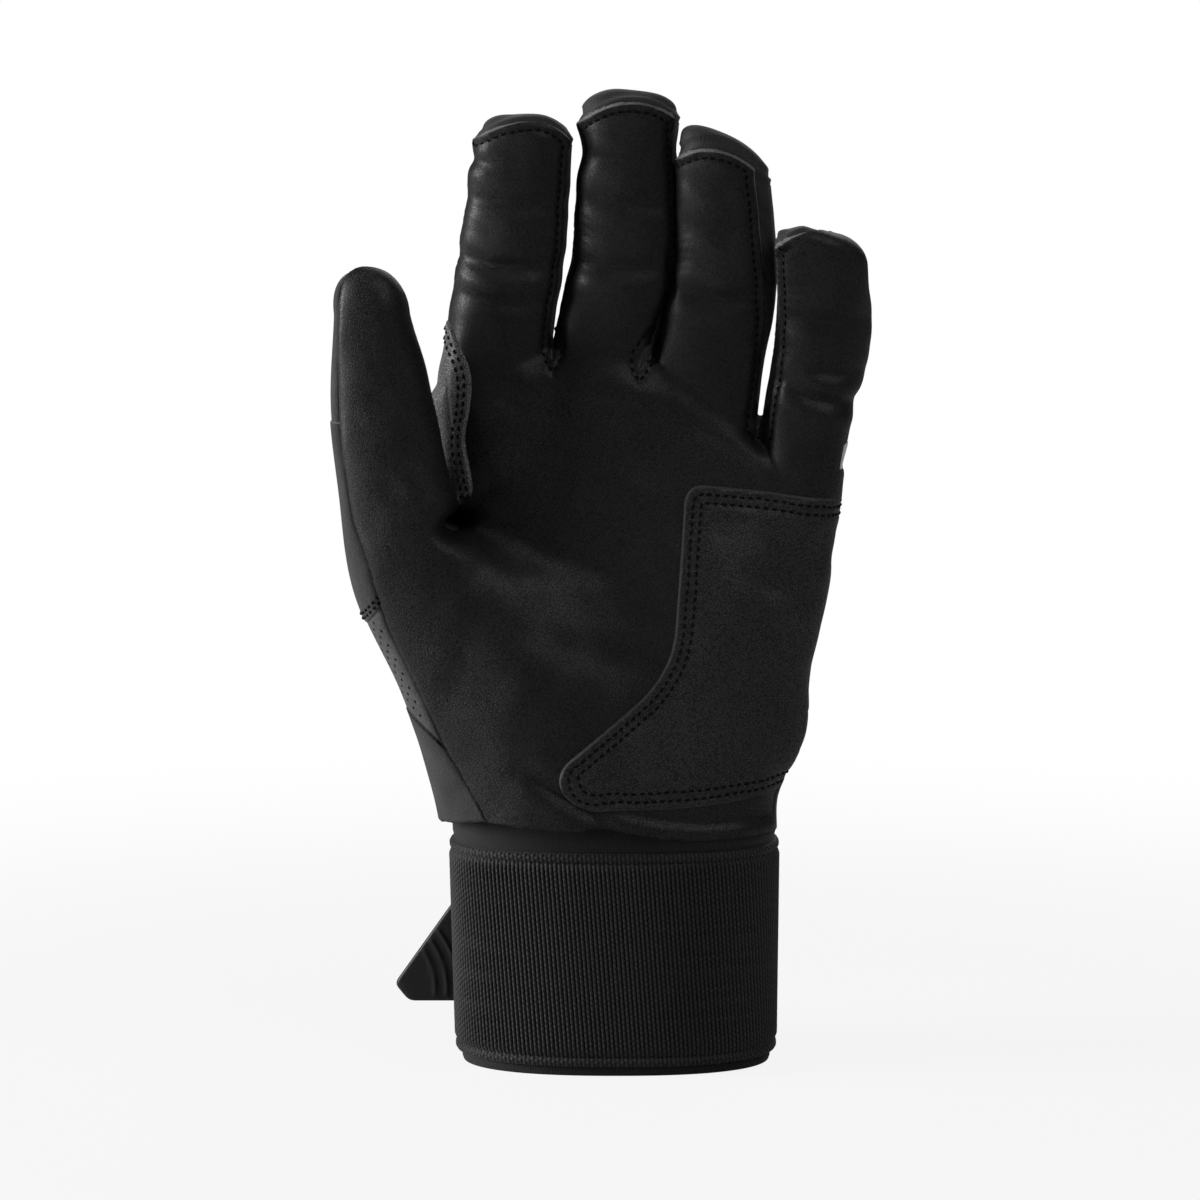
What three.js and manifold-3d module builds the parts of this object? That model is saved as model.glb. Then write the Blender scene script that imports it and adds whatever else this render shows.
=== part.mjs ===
// A left-hand batting glove, standing on its cuff as if a hand filled it.
// +Z runs to the fingertips, the palm faces -Y and the thumb is at -X.
// Lengths are in millimetres and angles in degrees. Heights on the hand are above the wrist seam,
// where the hand is sewn to the cuff, and heights on the cuff are above its rim.
import * as THREE from "three";
import { mergeVertices } from "three/addons/utils/BufferGeometryUtils.js";
import Module from "manifold-3d";

const wasm = await Module();
wasm.setup();

// Cloth, leather and the gaps between them
const wall = 1.0; // palm leather and the cloth of the back
const seamGap = 0.3; // between two pieces that are sewn edge to edge
const sideGap = 0.7; // between one finger and the next
const patchThickness = 1.0; // leather sewn on top of leather
const trimThickness = 0.8; // rubber strip on the back

// Cuff, wide elastic and closing strap
const cuffHeight = 66;
const cuffRim = { x: 3.8, y: 0.6, width: 78.2, depth: 49 };
const cuffTop = { x: 2.8, y: 0.4, width: 81.2, depth: 48 };
const cuffWall = 1.4;
const wristEase = 0.9; // how far the hand stands out past the cuff at the wrist seam
const wristEdge = cuffTop.x - cuffTop.width / 2; // thumb side of the cuff there
const elasticHeight = 54;
const elasticLift = 2.5; // above the rim
const elasticThickness = 1.5;
const elasticEnd = 24; // where it ends on the back, towards the little finger
const elasticStart = 7; // where it starts, behind the thumb side
const closurePatchThickness = 0.6; // hook patch and loop patch alike
const hookInset = 1; // of the hook patch from the strap's edges
const strapThickness = 1.4;
const strapHeight = 36;
const strapLift = 8;
const strapOverlap = 6; // of the strap over the end of the elastic
const strapEnd = -28; // free end of the cloth, towards the thumb
const tabThickness = 2.2;
const tabReach = -51.9; // point of the pull tab
const tabFoot = 11.6; // lower edge of the pull tab
const tabHeight = 28.4;
const tabNose = 4.5; // height of the pull tab's point above its lower edge
const tabShoulder = 8; // straight part of the tab's upper edge, from the strap
const tabShoulderFall = 1.5;
const tabFootCut = 3.8; // bevel at the foot of its point
const tabSeat = 10; // hook patch kept off the strap's end, where the tab is sewn

// Hand from the wrist to the finger roots, a section at each height
const palmSections = [
  { ...cuffTop, z: 0, width: cuffTop.width + 2 * wristEase, depth: cuffTop.depth + 2 * wristEase, slant: 0 },
  { z: 30.7, x: 4.5, y: 0, width: 96, depth: 45, slant: 0 },
  { z: 58.7, x: 8, y: 0, width: 100, depth: 38, slant: 0.2 },
  { z: 83.7, x: 10.5, y: 0, width: 101.5, depth: 30, slant: 0.6 },
  { z: 107.7, x: 12, y: 0, width: 102, depth: 22, slant: 1 },
];
const knuckleFall = 11.2; // of the finger roots from the middle of the hand to the little finger's edge
const edgeFall = 9.1; // and their fall from the middle to both edges alike

// Thumb from its root inside the heel of the hand
const thumb = {
  name: "thumb",
  sections: [
    { z: 3.7, x: wristEdge + 15.8, y: -7, width: 38, depth: 32 },
    { z: 30.7, x: -29.5, y: -11, width: 41, depth: 35 },
    { z: 53.7, x: -41, y: -13.5, width: 41, depth: 33 },
    { z: 81.7, x: -51, y: -18, width: 30, depth: 25, crease: "knuckle" },
    { z: 101.7, x: -55, y: -19.5, width: 25.5, depth: 21, crease: "middle" },
    { z: 124.7, x: -57, y: -21, width: 20, depth: 17 },
  ],
  dome: 11.5,
  swing: 25, // its creases are turned towards the index finger
};

// Fingers: heights of the knuckle crease, the middle crease and the tip, and the widths there
const fingerTable = [
  { name: "index", knuckle: 115.7, middle: 136.7, tip: 173.2, curl: 9, width: [26.6, 26.2, 24.9], spread: 2.1 },
  { name: "middle", knuckle: 113.7, middle: 136.7, tip: 180.2, curl: 11, width: [25.6, 26.8, 25], spread: 0 },
  { name: "ring", knuckle: 109.7, middle: 130.7, tip: 170.2, curl: 14, width: [26.4, 23.9, 23.4], spread: 0 },
  { name: "little", knuckle: 98.7, middle: 118.7, tip: 145.7, curl: 16, width: [21.8, 23.5, 22.8], spread: 0 },
];
const fingerDepth = [20, 19, 17]; // of every finger at the same three places
const fingerEdge = [-38.9, -36.6, -31.6]; // thumb side of the index finger there
const fingerRootDepth = 30; // how far a finger's tube reaches down into the hand
const fingerRootDraw = 0.12; // share by which its lower end is drawn in to the middle of the hand
const fingerDome = 7; // rounded end of a finger
const curlAtMiddle = 0.35; // share of the curl that is reached at the middle crease

// Seams
const sideSeam = -6; // depth of the seam along the little finger's edge of the hand
const thumbSeam = -17; // depth of the seam along the thumb
const gussetInset = 3; // seam of a finger gusset, in from the finger's edge
const tipWrap = 4; // how far the back is folded over each fingertip
const knucklePanel = 26; // height of the stretch panel below the index finger's root crease
const thumbStrip = 3; // width of the thumb's back that shows beside its front
const seamTurn = { right: -30, left: -40 }; // where the hand's side seam steps forward to the thumb
const sidePanelFoot = 48.7; // lower end of the thumb's side panel
const perforatedFoot = 17.7; // lower end of the perforated panel

// Seam between the palm leather and the panels on the thumb's edge, as X and Z from the thumb down
const thumbSeamLine = [
  [-62.5, 108.7],
  [-60.5, 83.7],
  [-57, 58.7],
  [-55, 47.7],
  [-47, 29.7],
  [wristEdge - 2.2, 15.7],
  [wristEdge + 9.8, -4.3],
];

// Outlines of the leather sewn over the palm, and of the strip on the back
const heelPatch = { top: 79.2, topLeft: 23.5, edgeTop: 72.7, waist: { x: 20.5, z: 40.7 }, toe: { x: -8, z: 10.7 }, foot: 3.7 };
const heelCorner = 5.5; // radius of the patch's corners
const sidePatch = { foot: 80.7, hem: -35, wave: 2.5 }; // leather on the thumb side of the index finger's base
const edgeTrim = { left: 44, foot: 85.2, top: 90.7 };

const fingerPoints = 16; // corners of a finger's section
const handPoints = 32; // corners of a section of the hand or cuff
const roundness = 2.4; // exponent of every section, where 2 is an ellipse
const ringsPerSpan = 2; // sections between two given ones
const domeSteps = [0.45, 0.75, 0.93, 1];
const far = 600; // longer than the glove

// A closed geometry as a solid that can be cut.
function solid(geometry) {
  geometry.deleteAttribute("normal");
  geometry.deleteAttribute("uv");
  const merged = mergeVertices(geometry);
  return new wasm.Manifold(
    new wasm.Mesh({
      numProp: 3,
      vertProperties: merged.attributes.position.array,
      triVerts: new Uint32Array(merged.index.array),
    }),
  );
}

// Everything on the side of a plane that its normal points to.
function halfSpace(point, normal) {
  const turn = new THREE.Quaternion().setFromUnitVectors(
    new THREE.Vector3(0, 0, 1),
    new THREE.Vector3(...normal).normalize(),
  );
  const box = new THREE.BoxGeometry(far, far, far).translate(0, 0, far / 2);
  return solid(box.applyQuaternion(turn).translate(...point));
}
const above = (z) => halfSpace([0, 0, z], [0, 0, 1]);
const below = (z) => halfSpace([0, 0, z], [0, 0, -1]);
const inFrontOf = (y) => halfSpace([0, y, 0], [0, -1, 0]);
const behind = (y) => halfSpace([0, y, 0], [0, 1, 0]);
const rightOf = (x) => halfSpace([x, 0, 0], [1, 0, 0]);
const leftOf = (x) => halfSpace([x, 0, 0], [-1, 0, 0]);

// An outline drawn in the front view, X across and Z up, run right through the glove.
function frontPrism(outline) {
  const extruded = new THREE.ExtrudeGeometry(outline, { depth: far, bevelEnabled: false, curveSegments: 4 });
  return solid(extruded.rotateX(Math.PI / 2).translate(0, far / 2, 0));
}

// An outline drawn in the plan view, X across and Y to the back, run the height of the glove.
function planPrism(outline) {
  return solid(new THREE.ExtrudeGeometry(outline, { depth: far, bevelEnabled: false }));
}

// One horizontal section: a rounded oval, grown outwards all round.
function ring({ x, y, z, width, depth, slant = 0 }, grow, count) {
  const corner = (cosine, half) => Math.sign(cosine) * Math.abs(cosine) ** (2 / roundness) * half;
  return Array.from({ length: count }, (_, i) => {
    const angle = (2 * Math.PI * i) / count;
    const across = corner(Math.cos(angle), width / 2 + grow);
    const through = corner(Math.sin(angle), depth / 2 + grow);
    const share = across / (width / 2);
    const fall = slant * (knuckleFall * share + edgeFall * share ** 2);
    return new THREE.Vector3(x + across, y + through, z - fall);
  });
}

// A solid through a stack of rings with the same number of corners, closed at both ends.
function loft(rings) {
  const count = rings[0].length;
  const top = (rings.length - 1) * count;
  const faces = [];
  for (let start = 0; start < top; start += count) {
    for (let i = 0; i < count; i++) {
      const a = start + i;
      const b = start + ((i + 1) % count);
      faces.push(a, b, b + count, a, b + count, a + count);
    }
  }
  for (let i = 0; i < count / 2; i++) {
    const [a, b, c, d] = [i, i + 1, count - i - 1, (count - i) % count];
    if (b !== c) faces.push(a, c, b, top + a, top + b, top + c);
    if (a !== d) faces.push(a, d, c, top + a, top + c, top + d);
  }
  return solid(new THREE.BufferGeometry().setFromPoints(rings.flat()).setIndex(faces));
}

// Sections on a smooth curve through the given ones.
function smoothSections(sections, steps) {
  const middles = new THREE.CatmullRomCurve3(sections.map((s) => new THREE.Vector3(s.x, s.y, s.z)));
  const sizes = new THREE.CatmullRomCurve3(
    sections.map((s) => new THREE.Vector3(s.width, s.depth, s.slant ?? 0)),
  );
  const total = steps * (sections.length - 1);
  return Array.from({ length: total + 1 }, (_, i) => {
    const { x, y, z } = middles.getPoint(i / total);
    const size = sizes.getPoint(i / total);
    return { x, y, z, width: size.x, depth: size.y, slant: size.z };
  });
}

// A finger or thumb: its tube, then a dome that closes the end.
function digitSolid({ sections, dome }, grow) {
  const tube = smoothSections(sections, ringsPerSpan);
  const last = tube.at(-1);
  const before = tube.at(-2);
  const rings = tube.map((section) => ring(section, grow, fingerPoints));
  for (const step of domeSteps) {
    const share = Math.max(1 - step ** roundness, 0.02) ** (1 / roundness);
    const rise = (dome + grow) * step;
    const along = rise / (last.z - before.z);
    rings.push(
      ring(
        {
          x: last.x + (last.x - before.x) * along,
          y: last.y + (last.y - before.y) * along,
          z: last.z + rise,
          width: (last.width + 2 * grow) * share,
          depth: (last.depth + 2 * grow) * share,
        },
        0,
        fingerPoints,
      ),
    );
  }
  return loft(rings);
}

// The fingers stand side by side at the root crease, the middle crease and the tip.
const fingers = fingerTable.map((finger) => ({ ...finger, sections: [], dome: fingerDome, swing: 0 }));
["knuckle", "middle", "tip"].forEach((crease, level) => {
  let edge = fingerEdge[level];
  for (const finger of fingers) {
    const width = finger.width[level];
    const z = finger[crease] - (crease === "tip" ? fingerDome : 0);
    const forward = [0, curlAtMiddle, 1][level] * finger.curl;
    finger.sections.push({ crease, x: edge + width / 2, y: -forward, z, width, depth: fingerDepth[level] });
    edge += width + sideGap + (crease === "middle" ? finger.spread : 0);
  }
});
for (const { sections } of fingers) {
  const [root] = sections;
  const x = THREE.MathUtils.lerp(root.x, palmSections.at(-1).x, fingerRootDraw);
  const width = root.width * (1 - fingerRootDraw);
  sections.unshift({ ...root, crease: "inside the hand", x, width, z: root.z - fingerRootDepth });
}
const creaseOf = (digit, name) => digit.sections.find((section) => section.crease === name);
const digits = [...fingers, thumb];
const [index] = fingers;

// Solid bodies of the hand, grown by the same amount all over
function palmSolid(grow) {
  const sections = smoothSections(palmSections, ringsPerSpan);
  sections.at(-1).z += grow;
  return loft(sections.map((section) => ring(section, grow, handPoints)));
}
const unite = (solids) => solids.reduce((joined, next) => joined.add(next));
const handSolid = (grow) => unite([palmSolid(grow), ...digits.map((digit) => digitSolid(digit, grow))]);

const openWrist = loft(
  [0, 2 * wall].map((rise) =>
    ring({ ...palmSections[0], z: palmSections[0].z - wall + rise }, -wall, handPoints),
  ),
);
const handHollow = handSolid(-wall).add(openWrist);

// Everything on the thumb's side of its seam, with the seam moved across.
function leftOfThumbSeam(shift) {
  const outline = new THREE.Shape();
  outline.moveTo(thumbSeamLine[0][0] + shift, far / 2);
  thumbSeamLine.forEach(([x, z]) => outline.lineTo(x + shift, z));
  outline.lineTo(thumbSeamLine.at(-1)[0] + shift, -far / 2);
  outline.lineTo(-far / 2, -far / 2);
  outline.lineTo(-far / 2, far / 2);
  return frontPrism(outline);
}

// The palm side of the hand: in front of the seam along each edge.
function palmSide(shift) {
  const outline = new THREE.Shape();
  outline.moveTo(far / 2, sideSeam + shift);
  outline.lineTo(seamTurn.right, sideSeam + shift);
  outline.lineTo(seamTurn.left, thumbSeam + shift);
  outline.lineTo(-far / 2, thumbSeam + shift);
  outline.lineTo(-far / 2, -far / 2);
  outline.lineTo(far / 2, -far / 2);
  return planPrism(outline);
}

// Each body is a group at the crease or hem that it turns about, nested in the body that carries it.
const glove = new THREE.Group();
const bodies = { hand: { group: glove, origin: new THREE.Vector3() } };

const finishes = {
  leather: { color: 0x131313, roughness: 0.5 },
  stretchCloth: { color: 0x101010, roughness: 0.85 },
  suede: { color: 0x2b2b2b, roughness: 0.95 },
  elastic: { color: 0x161616, roughness: 0.9 },
  rubber: { color: 0x1c1c1c, roughness: 0.55 },
  paleRubber: { color: 0xcfcfcf, roughness: 0.6 },
};

// Adds a solid to the glove as a named mesh with its finish, on the body that it moves with.
function addPiece(body, name, shape, finish) {
  const { vertProperties, triVerts } = shape.getMesh();
  const geometry = new THREE.BufferGeometry();
  geometry.setAttribute("position", new THREE.BufferAttribute(vertProperties, 3));
  geometry.setIndex(new THREE.BufferAttribute(triVerts, 1));
  geometry.computeVertexNormals();
  const mesh = new THREE.Mesh(geometry, new THREE.MeshStandardMaterial({ metalness: 0, ...finishes[finish] }));
  mesh.name = name;
  const { group, origin } = bodies[body];
  geometry.translate(-origin.x, -origin.y, -origin.z);
  group.add(mesh);
}

// Hangs a new body on its parent by a hinge whose point and axis are given from the wrist seam.
function addBody(name, parent, { point, axis }) {
  const origin = new THREE.Vector3(...point);
  const group = new THREE.Group();
  group.name = `${name}_body`;
  group.position.copy(origin).sub(bodies[parent].origin);
  group.userData = { parent, point, axis };
  bodies[parent].group.add(group);
  bodies[name] = { group, origin };
}

// A digit folds forward about a line along the palm side of its crease.
function foldLine(section, swing) {
  const turn = THREE.MathUtils.degToRad(swing);
  const forward = new THREE.Vector3(Math.sin(turn), -Math.cos(turn), 0);
  const middle = new THREE.Vector3(section.x, section.y, section.z);
  const reach = ring(section, 0, fingerPoints).map((p) => p.sub(middle).dot(forward));
  return {
    point: middle.addScaledVector(forward, Math.max(...reach)).toArray(),
    axis: [Math.cos(turn), Math.sin(turn), 0],
  };
}

// The front of a digit is a tongue of palm leather that stops short of the tip.
function tongue(digit, edges, grow) {
  const shoulder = digit.sections.at(-1);
  const end = shoulder.z + digit.dome - tipWrap + grow;
  const half = (edges.right - edges.left) / 2 + grow;
  const outline = new THREE.Shape();
  outline.moveTo(edges.left - grow, -far / 2);
  outline.lineTo(edges.right + grow, -far / 2);
  outline.lineTo(edges.right + grow, end - half / 2);
  outline.quadraticCurveTo(edges.right + grow, end, edges.right + grow - half * 0.6, end);
  outline.lineTo(edges.left - grow + half * 0.6, end);
  outline.quadraticCurveTo(edges.left - grow, end, edges.left - grow, end - half / 2);
  return frontPrism(outline);
}

// A half space in front of the middle plane between two sections of a digit.
function frontOfDigit(lower, upper, shift) {
  const rise = upper.z - lower.z;
  const lean = upper.y - lower.y;
  return halfSpace([0, lower.y + shift, lower.z], [0, -rise, lean]);
}

// A strip along the little finger's edge of a finger, for its gusset.
function gussetStrip(digit, grow) {
  const outline = new THREE.Shape();
  const edge = digit.sections.map((s) => [s.x + s.width / 2 - gussetInset - grow, s.z]);
  outline.moveTo(edge[0][0], edge[0][1] - far / 2);
  edge.forEach(([x, z]) => outline.lineTo(x, z + (z === edge.at(-1)[1] ? grow : 0)));
  outline.lineTo(far / 2, edge.at(-1)[1] + grow);
  outline.lineTo(far / 2, edge[0][1] - far / 2);
  return frontPrism(outline);
}

// Two moving lengths of a digit, each with a front of leather, a back and, on a finger, a gusset.
function addDigit(digit) {
  const { name, sections, swing } = digit;
  const middle = creaseOf(digit, "middle");
  const isThumb = digit === thumb;
  const shell = digitSolid(digit, 0).subtract(digitSolid(digit, -wall));
  const lengths = [
    { body: `${name}_lower`, parent: "hand", from: creaseOf(digit, "knuckle"), to: middle },
    { body: `${name}_upper`, parent: `${name}_lower`, from: middle, to: sections.at(-1) },
  ];
  for (const { body, parent, from, to } of lengths) {
    addBody(body, parent, foldLine(from, swing));
    let length = shell.intersect(above(from.z + seamGap / 2));
    if (to === middle) length = length.intersect(below(to.z - seamGap / 2));
    const edges = {
      left: Math.min(from.x - from.width / 2, to.x - to.width / 2) + (isThumb ? thumbStrip : 0),
      right: Math.max(from.x + from.width / 2, to.x + to.width / 2),
    };
    const leaf = (grow) => tongue(digit, edges, grow).intersect(frontOfDigit(from, to, grow));
    if (!isThumb) {
      addPiece(body, `${body}_gusset`, length.intersect(gussetStrip(digit, 0)), "stretchCloth");
      length = length.subtract(gussetStrip(digit, seamGap));
    }
    addPiece(body, `${body}_front`, length.intersect(leaf(0)), "leather");
    addPiece(body, `${body}_back`, length.subtract(leaf(seamGap)), isThumb ? "suede" : "stretchCloth");
  }
}
digits.forEach(addDigit);

// What stays still: the hand's shell below every knuckle crease
const movingDigits = unite(
  digits.map((digit) =>
    digitSolid(digit, seamGap).intersect(above(creaseOf(digit, "knuckle").z - seamGap / 2)),
  ),
);
const handShell = handSolid(0).subtract(handHollow).subtract(movingDigits);

function addHand() {
  const { x, z } = creaseOf(index, "knuckle");
  const slope = knuckleFall / (palmSections.at(-1).width / 2);
  const knuckleZone = (shift) => halfSpace([x, 0, z - knucklePanel + shift], [slope, 0, 1]);
  const rightOfThumbSeam = handShell.subtract(leftOfThumbSeam(seamGap));
  const side = handShell.intersect(leftOfThumbSeam(0));
  const back = rightOfThumbSeam.subtract(palmSide(seamGap));
  addPiece("hand", "palm_panel", rightOfThumbSeam.intersect(palmSide(0)), "leather");
  addPiece("hand", "back_panel", back.subtract(knuckleZone(-seamGap)), "stretchCloth");
  addPiece("hand", "knuckle_flex_panel", back.intersect(knuckleZone(0)), "stretchCloth");
  addPiece("hand", "thumb_side_panel", side.intersect(above(sidePanelFoot + seamGap)), "suede");
  const perforated = side.intersect(below(sidePanelFoot)).intersect(above(perforatedFoot + seamGap));
  addPiece("hand", "perforated_panel", perforated, "suede");
  addPiece("hand", "wrist_side_panel", side.intersect(below(perforatedFoot)), "suede");
}
addHand();

// Leather sewn over the heel of the palm, round the little finger's edge
function addHeelPatch() {
  const { top, topLeft, edgeTop, waist, toe, foot } = heelPatch;
  const outline = new THREE.Shape();
  outline.moveTo(far / 2, edgeTop);
  outline.lineTo(topLeft + 6 * heelCorner, edgeTop);
  outline.quadraticCurveTo(topLeft + 3 * heelCorner, top, topLeft + heelCorner, top);
  outline.quadraticCurveTo(topLeft, top, topLeft, top - heelCorner);
  outline.lineTo(waist.x, waist.z + heelCorner);
  outline.quadraticCurveTo(waist.x, waist.z, waist.x - heelCorner, waist.z - heelCorner);
  outline.lineTo(toe.x + heelCorner / 2, toe.z + heelCorner);
  outline.quadraticCurveTo(toe.x - heelCorner / 2, (toe.z + foot) / 2, toe.x + heelCorner, foot);
  outline.lineTo(far / 2, foot);
  const layer = handSolid(seamGap + patchThickness).subtract(handSolid(seamGap));
  addPiece("hand", "heel_patch", layer.intersect(frontPrism(outline)).intersect(inFrontOf(sideSeam)), "leather");
}
addHeelPatch();

// Leather that wraps the thumb side of the index finger's base, with a waved hem
function addIndexSidePanel() {
  const { foot, hem, wave } = sidePatch;
  const top = creaseOf(index, "knuckle").z - seamGap;
  const quarter = (top - foot) / 4;
  const outline = new THREE.Shape();
  outline.moveTo(hem - wave / 2, top);
  outline.quadraticCurveTo(hem + wave, top - quarter, hem, top - 2 * quarter);
  outline.quadraticCurveTo(hem - wave / 2, foot + quarter, hem + wave / 2, foot);
  outline.lineTo(-far / 2, foot);
  outline.lineTo(-far / 2, top);
  const base = (grow) => palmSolid(grow).add(digitSolid(index, grow));
  const layer = base(seamGap + patchThickness).subtract(base(seamGap));
  const strip = layer.intersect(frontPrism(outline)).subtract(digitSolid(thumb, seamGap));
  addPiece("hand", "index_side_panel", strip, "leather");
}
addIndexSidePanel();

// Pale rubber strip on the back, by the little finger's root
function addEdgeTrim() {
  const layer = handSolid(seamGap + trimThickness).subtract(handSolid(seamGap));
  const strip = layer.intersect(behind(sideSeam + seamGap)).intersect(rightOf(edgeTrim.left));
  addPiece("hand", "edge_trim", strip.intersect(above(edgeTrim.foot)).intersect(below(edgeTrim.top)), "paleRubber");
}
addEdgeTrim();

// Closed oval tube of the cuff between two heights above its rim, grown outwards
const rim = -(cuffHeight + seamGap);
function cuffSolid(grow, from, to) {
  const at = (height) => {
    const mix = (key) => THREE.MathUtils.lerp(cuffRim[key], cuffTop[key], height / cuffHeight);
    return { x: mix("x"), y: mix("y"), width: mix("width"), depth: mix("depth"), z: rim + height };
  };
  return loft([from, to].map((height) => ring(at(height), grow, handPoints)));
}
const cuffLayer = (inner, outer, from, to) =>
  cuffSolid(outer, from, to).subtract(cuffSolid(inner, from - wall, to + wall));

function addCuff() {
  const elasticTop = elasticLift + elasticHeight;
  const backGap = behind(elasticStart).intersect(leftOf(elasticEnd));
  addPiece("hand", "cuff_band", cuffLayer(-cuffWall, 0, 0, cuffHeight), "stretchCloth");
  const elastic = cuffLayer(seamGap, seamGap + elasticThickness, elasticLift, elasticTop);
  addPiece("hand", "wrist_elastic", elastic.subtract(backGap), "elastic");
  const strapTop = strapLift + strapHeight;
  const loops = cuffLayer(seamGap, seamGap + closurePatchThickness, strapLift, strapTop);
  const loopZone = behind(elasticStart + seamGap).intersect(leftOf(elasticEnd - seamGap));
  addPiece("hand", "loop_patch", loops.intersect(loopZone).intersect(rightOf(strapEnd)), "stretchCloth");
}
addCuff();

// Strap that closes over the back of the wrist and peels open from the thumb side
function addStrap() {
  const top = strapLift + strapHeight;
  const strapInside = 3 * seamGap + 2 * closurePatchThickness;
  const root = elasticEnd + strapOverlap;
  const backZone = behind(elasticStart + seamGap);
  const backEdge = (x) => {
    const half = cuffRim.width / 2 + strapInside;
    const share = Math.min(Math.abs(x - cuffRim.x) / half, 1);
    return cuffRim.y + (cuffRim.depth / 2 + strapInside) * (1 - share ** roundness) ** (1 / roundness);
  };
  addBody("strap", "hand", { point: [root, backEdge(root), rim + strapLift], axis: [0, 0, -1] });
  const strap = cuffLayer(strapInside, strapInside + strapThickness, strapLift, top);
  const strapZone = backZone.intersect(leftOf(root)).intersect(rightOf(strapEnd));
  addPiece("strap", "closure_strap", strap.intersect(strapZone), "elastic");

  const hookInside = 2 * seamGap + closurePatchThickness;
  const hooks = cuffLayer(hookInside, hookInside + closurePatchThickness, strapLift + hookInset, top - hookInset);
  const hookZone = backZone.intersect(leftOf(elasticEnd - seamGap)).intersect(rightOf(strapEnd + tabSeat));
  addPiece("strap", "hook_patch", hooks.intersect(hookZone), "stretchCloth");

  const outline = new THREE.Shape();
  const foot = rim + tabFoot;
  outline.moveTo(strapEnd - seamGap, foot);
  outline.lineTo(strapEnd - seamGap, foot + tabHeight);
  outline.lineTo(strapEnd - tabShoulder, foot + tabHeight - tabShoulderFall);
  outline.lineTo(tabReach, foot + tabNose);
  outline.lineTo(tabReach + tabFootCut, foot);
  const tab = new THREE.ExtrudeGeometry(outline, { depth: tabThickness, bevelEnabled: false });
  tab.rotateX(Math.PI / 2).translate(0, backEdge(strapEnd) + strapThickness / 2 + tabThickness / 2, 0);
  addPiece("strap", "pull_tab", solid(tab), "rubber");
}
addStrap();

// The glove stands on the rim of its cuff.
glove.position.z = -rim;
export default glove;
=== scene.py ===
# %% [markdown]
# # A batting glove, sewn panel by panel
# The glove stands on its cuff with the palm to the camera, as if a hand filled it.
# On the real one flat pieces of leather and cloth are sewn into a hollow hand, so this
# lesson first makes the hand's whole surface, then draws the seams on it, and then cuts it
# into pieces along them. Two pieces that meet in a seam share the same cut, so nothing gapes.
# All the work is in millimetres, and a mesh turns into metres when it is made.

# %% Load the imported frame
import math

import bpy
import numpy as np
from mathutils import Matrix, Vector


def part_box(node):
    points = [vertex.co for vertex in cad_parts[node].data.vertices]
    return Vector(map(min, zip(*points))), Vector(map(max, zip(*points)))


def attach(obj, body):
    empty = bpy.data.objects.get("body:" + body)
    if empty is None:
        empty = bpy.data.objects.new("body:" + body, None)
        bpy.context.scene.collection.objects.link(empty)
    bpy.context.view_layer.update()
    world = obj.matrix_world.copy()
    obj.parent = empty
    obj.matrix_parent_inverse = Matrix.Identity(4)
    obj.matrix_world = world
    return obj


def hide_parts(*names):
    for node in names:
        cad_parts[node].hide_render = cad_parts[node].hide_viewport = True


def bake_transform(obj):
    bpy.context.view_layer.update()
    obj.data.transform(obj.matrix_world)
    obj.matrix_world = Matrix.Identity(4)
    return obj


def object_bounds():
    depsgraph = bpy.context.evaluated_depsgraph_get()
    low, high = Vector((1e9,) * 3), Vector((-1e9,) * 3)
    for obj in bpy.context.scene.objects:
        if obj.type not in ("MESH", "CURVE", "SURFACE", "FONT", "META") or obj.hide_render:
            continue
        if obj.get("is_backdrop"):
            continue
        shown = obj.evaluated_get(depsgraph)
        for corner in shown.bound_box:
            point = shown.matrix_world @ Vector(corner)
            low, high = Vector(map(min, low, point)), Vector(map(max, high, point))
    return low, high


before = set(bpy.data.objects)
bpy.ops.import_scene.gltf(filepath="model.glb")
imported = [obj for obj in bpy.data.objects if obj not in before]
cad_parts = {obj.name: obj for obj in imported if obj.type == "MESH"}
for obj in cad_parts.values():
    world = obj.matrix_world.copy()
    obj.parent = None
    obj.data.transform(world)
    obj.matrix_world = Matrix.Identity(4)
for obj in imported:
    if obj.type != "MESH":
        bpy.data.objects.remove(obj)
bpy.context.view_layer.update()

METRE = 1000.0  # millimetres

# %% [markdown]
# ## The limbs of the hand
# A finger is a tube of rounded ovals that end in a dome. It could be lofted ring by ring,
# but the rings of five limbs don't join into one skin. So each limb is a distance field: a
# function that says how far a point lies outside it. Fields blend smoothly where limbs meet.


# %% Smooth curves and rounded ovals
def curve_through(knots, values, straight_on=False):
    """A smooth curve through values at rising knots, level below them, and level or straight above."""
    knots, values = np.asarray(knots, float), np.asarray(values, float)
    slopes = np.gradient(values, knots)

    def at(t):
        inside = np.clip(t, knots[0], knots[-1])
        i = np.clip(np.searchsorted(knots, inside, side="right") - 1, 0, len(knots) - 2)
        span = knots[i + 1] - knots[i]
        s = (inside - knots[i]) / span
        lean = span * s * (1 - s) * (slopes[i] * (1 - s) - slopes[i + 1] * s)
        smooth = values[i] + (values[i + 1] - values[i]) * s * s * (3 - 2 * s) + lean
        return smooth + (np.maximum(t - knots[-1], 0) * slopes[-1] if straight_on else 0)

    return at


ROUNDNESS = 2.4  # exponent of every oval, where 2 is an ellipse
OFF_CENTRE = 1e-4  # keeps a point off the very middle of an oval, or off a seam


def ray_distance(*offsets_and_halves):
    """Distance outside an ovoid, measured along the ray from its middle."""
    share = sum(np.abs(o / h) ** ROUNDNESS for o, h in offsets_and_halves) ** (1 / ROUNDNESS)
    reach = np.sqrt(sum(o * o for o, _ in offsets_and_halves))
    return reach - reach / share


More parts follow.
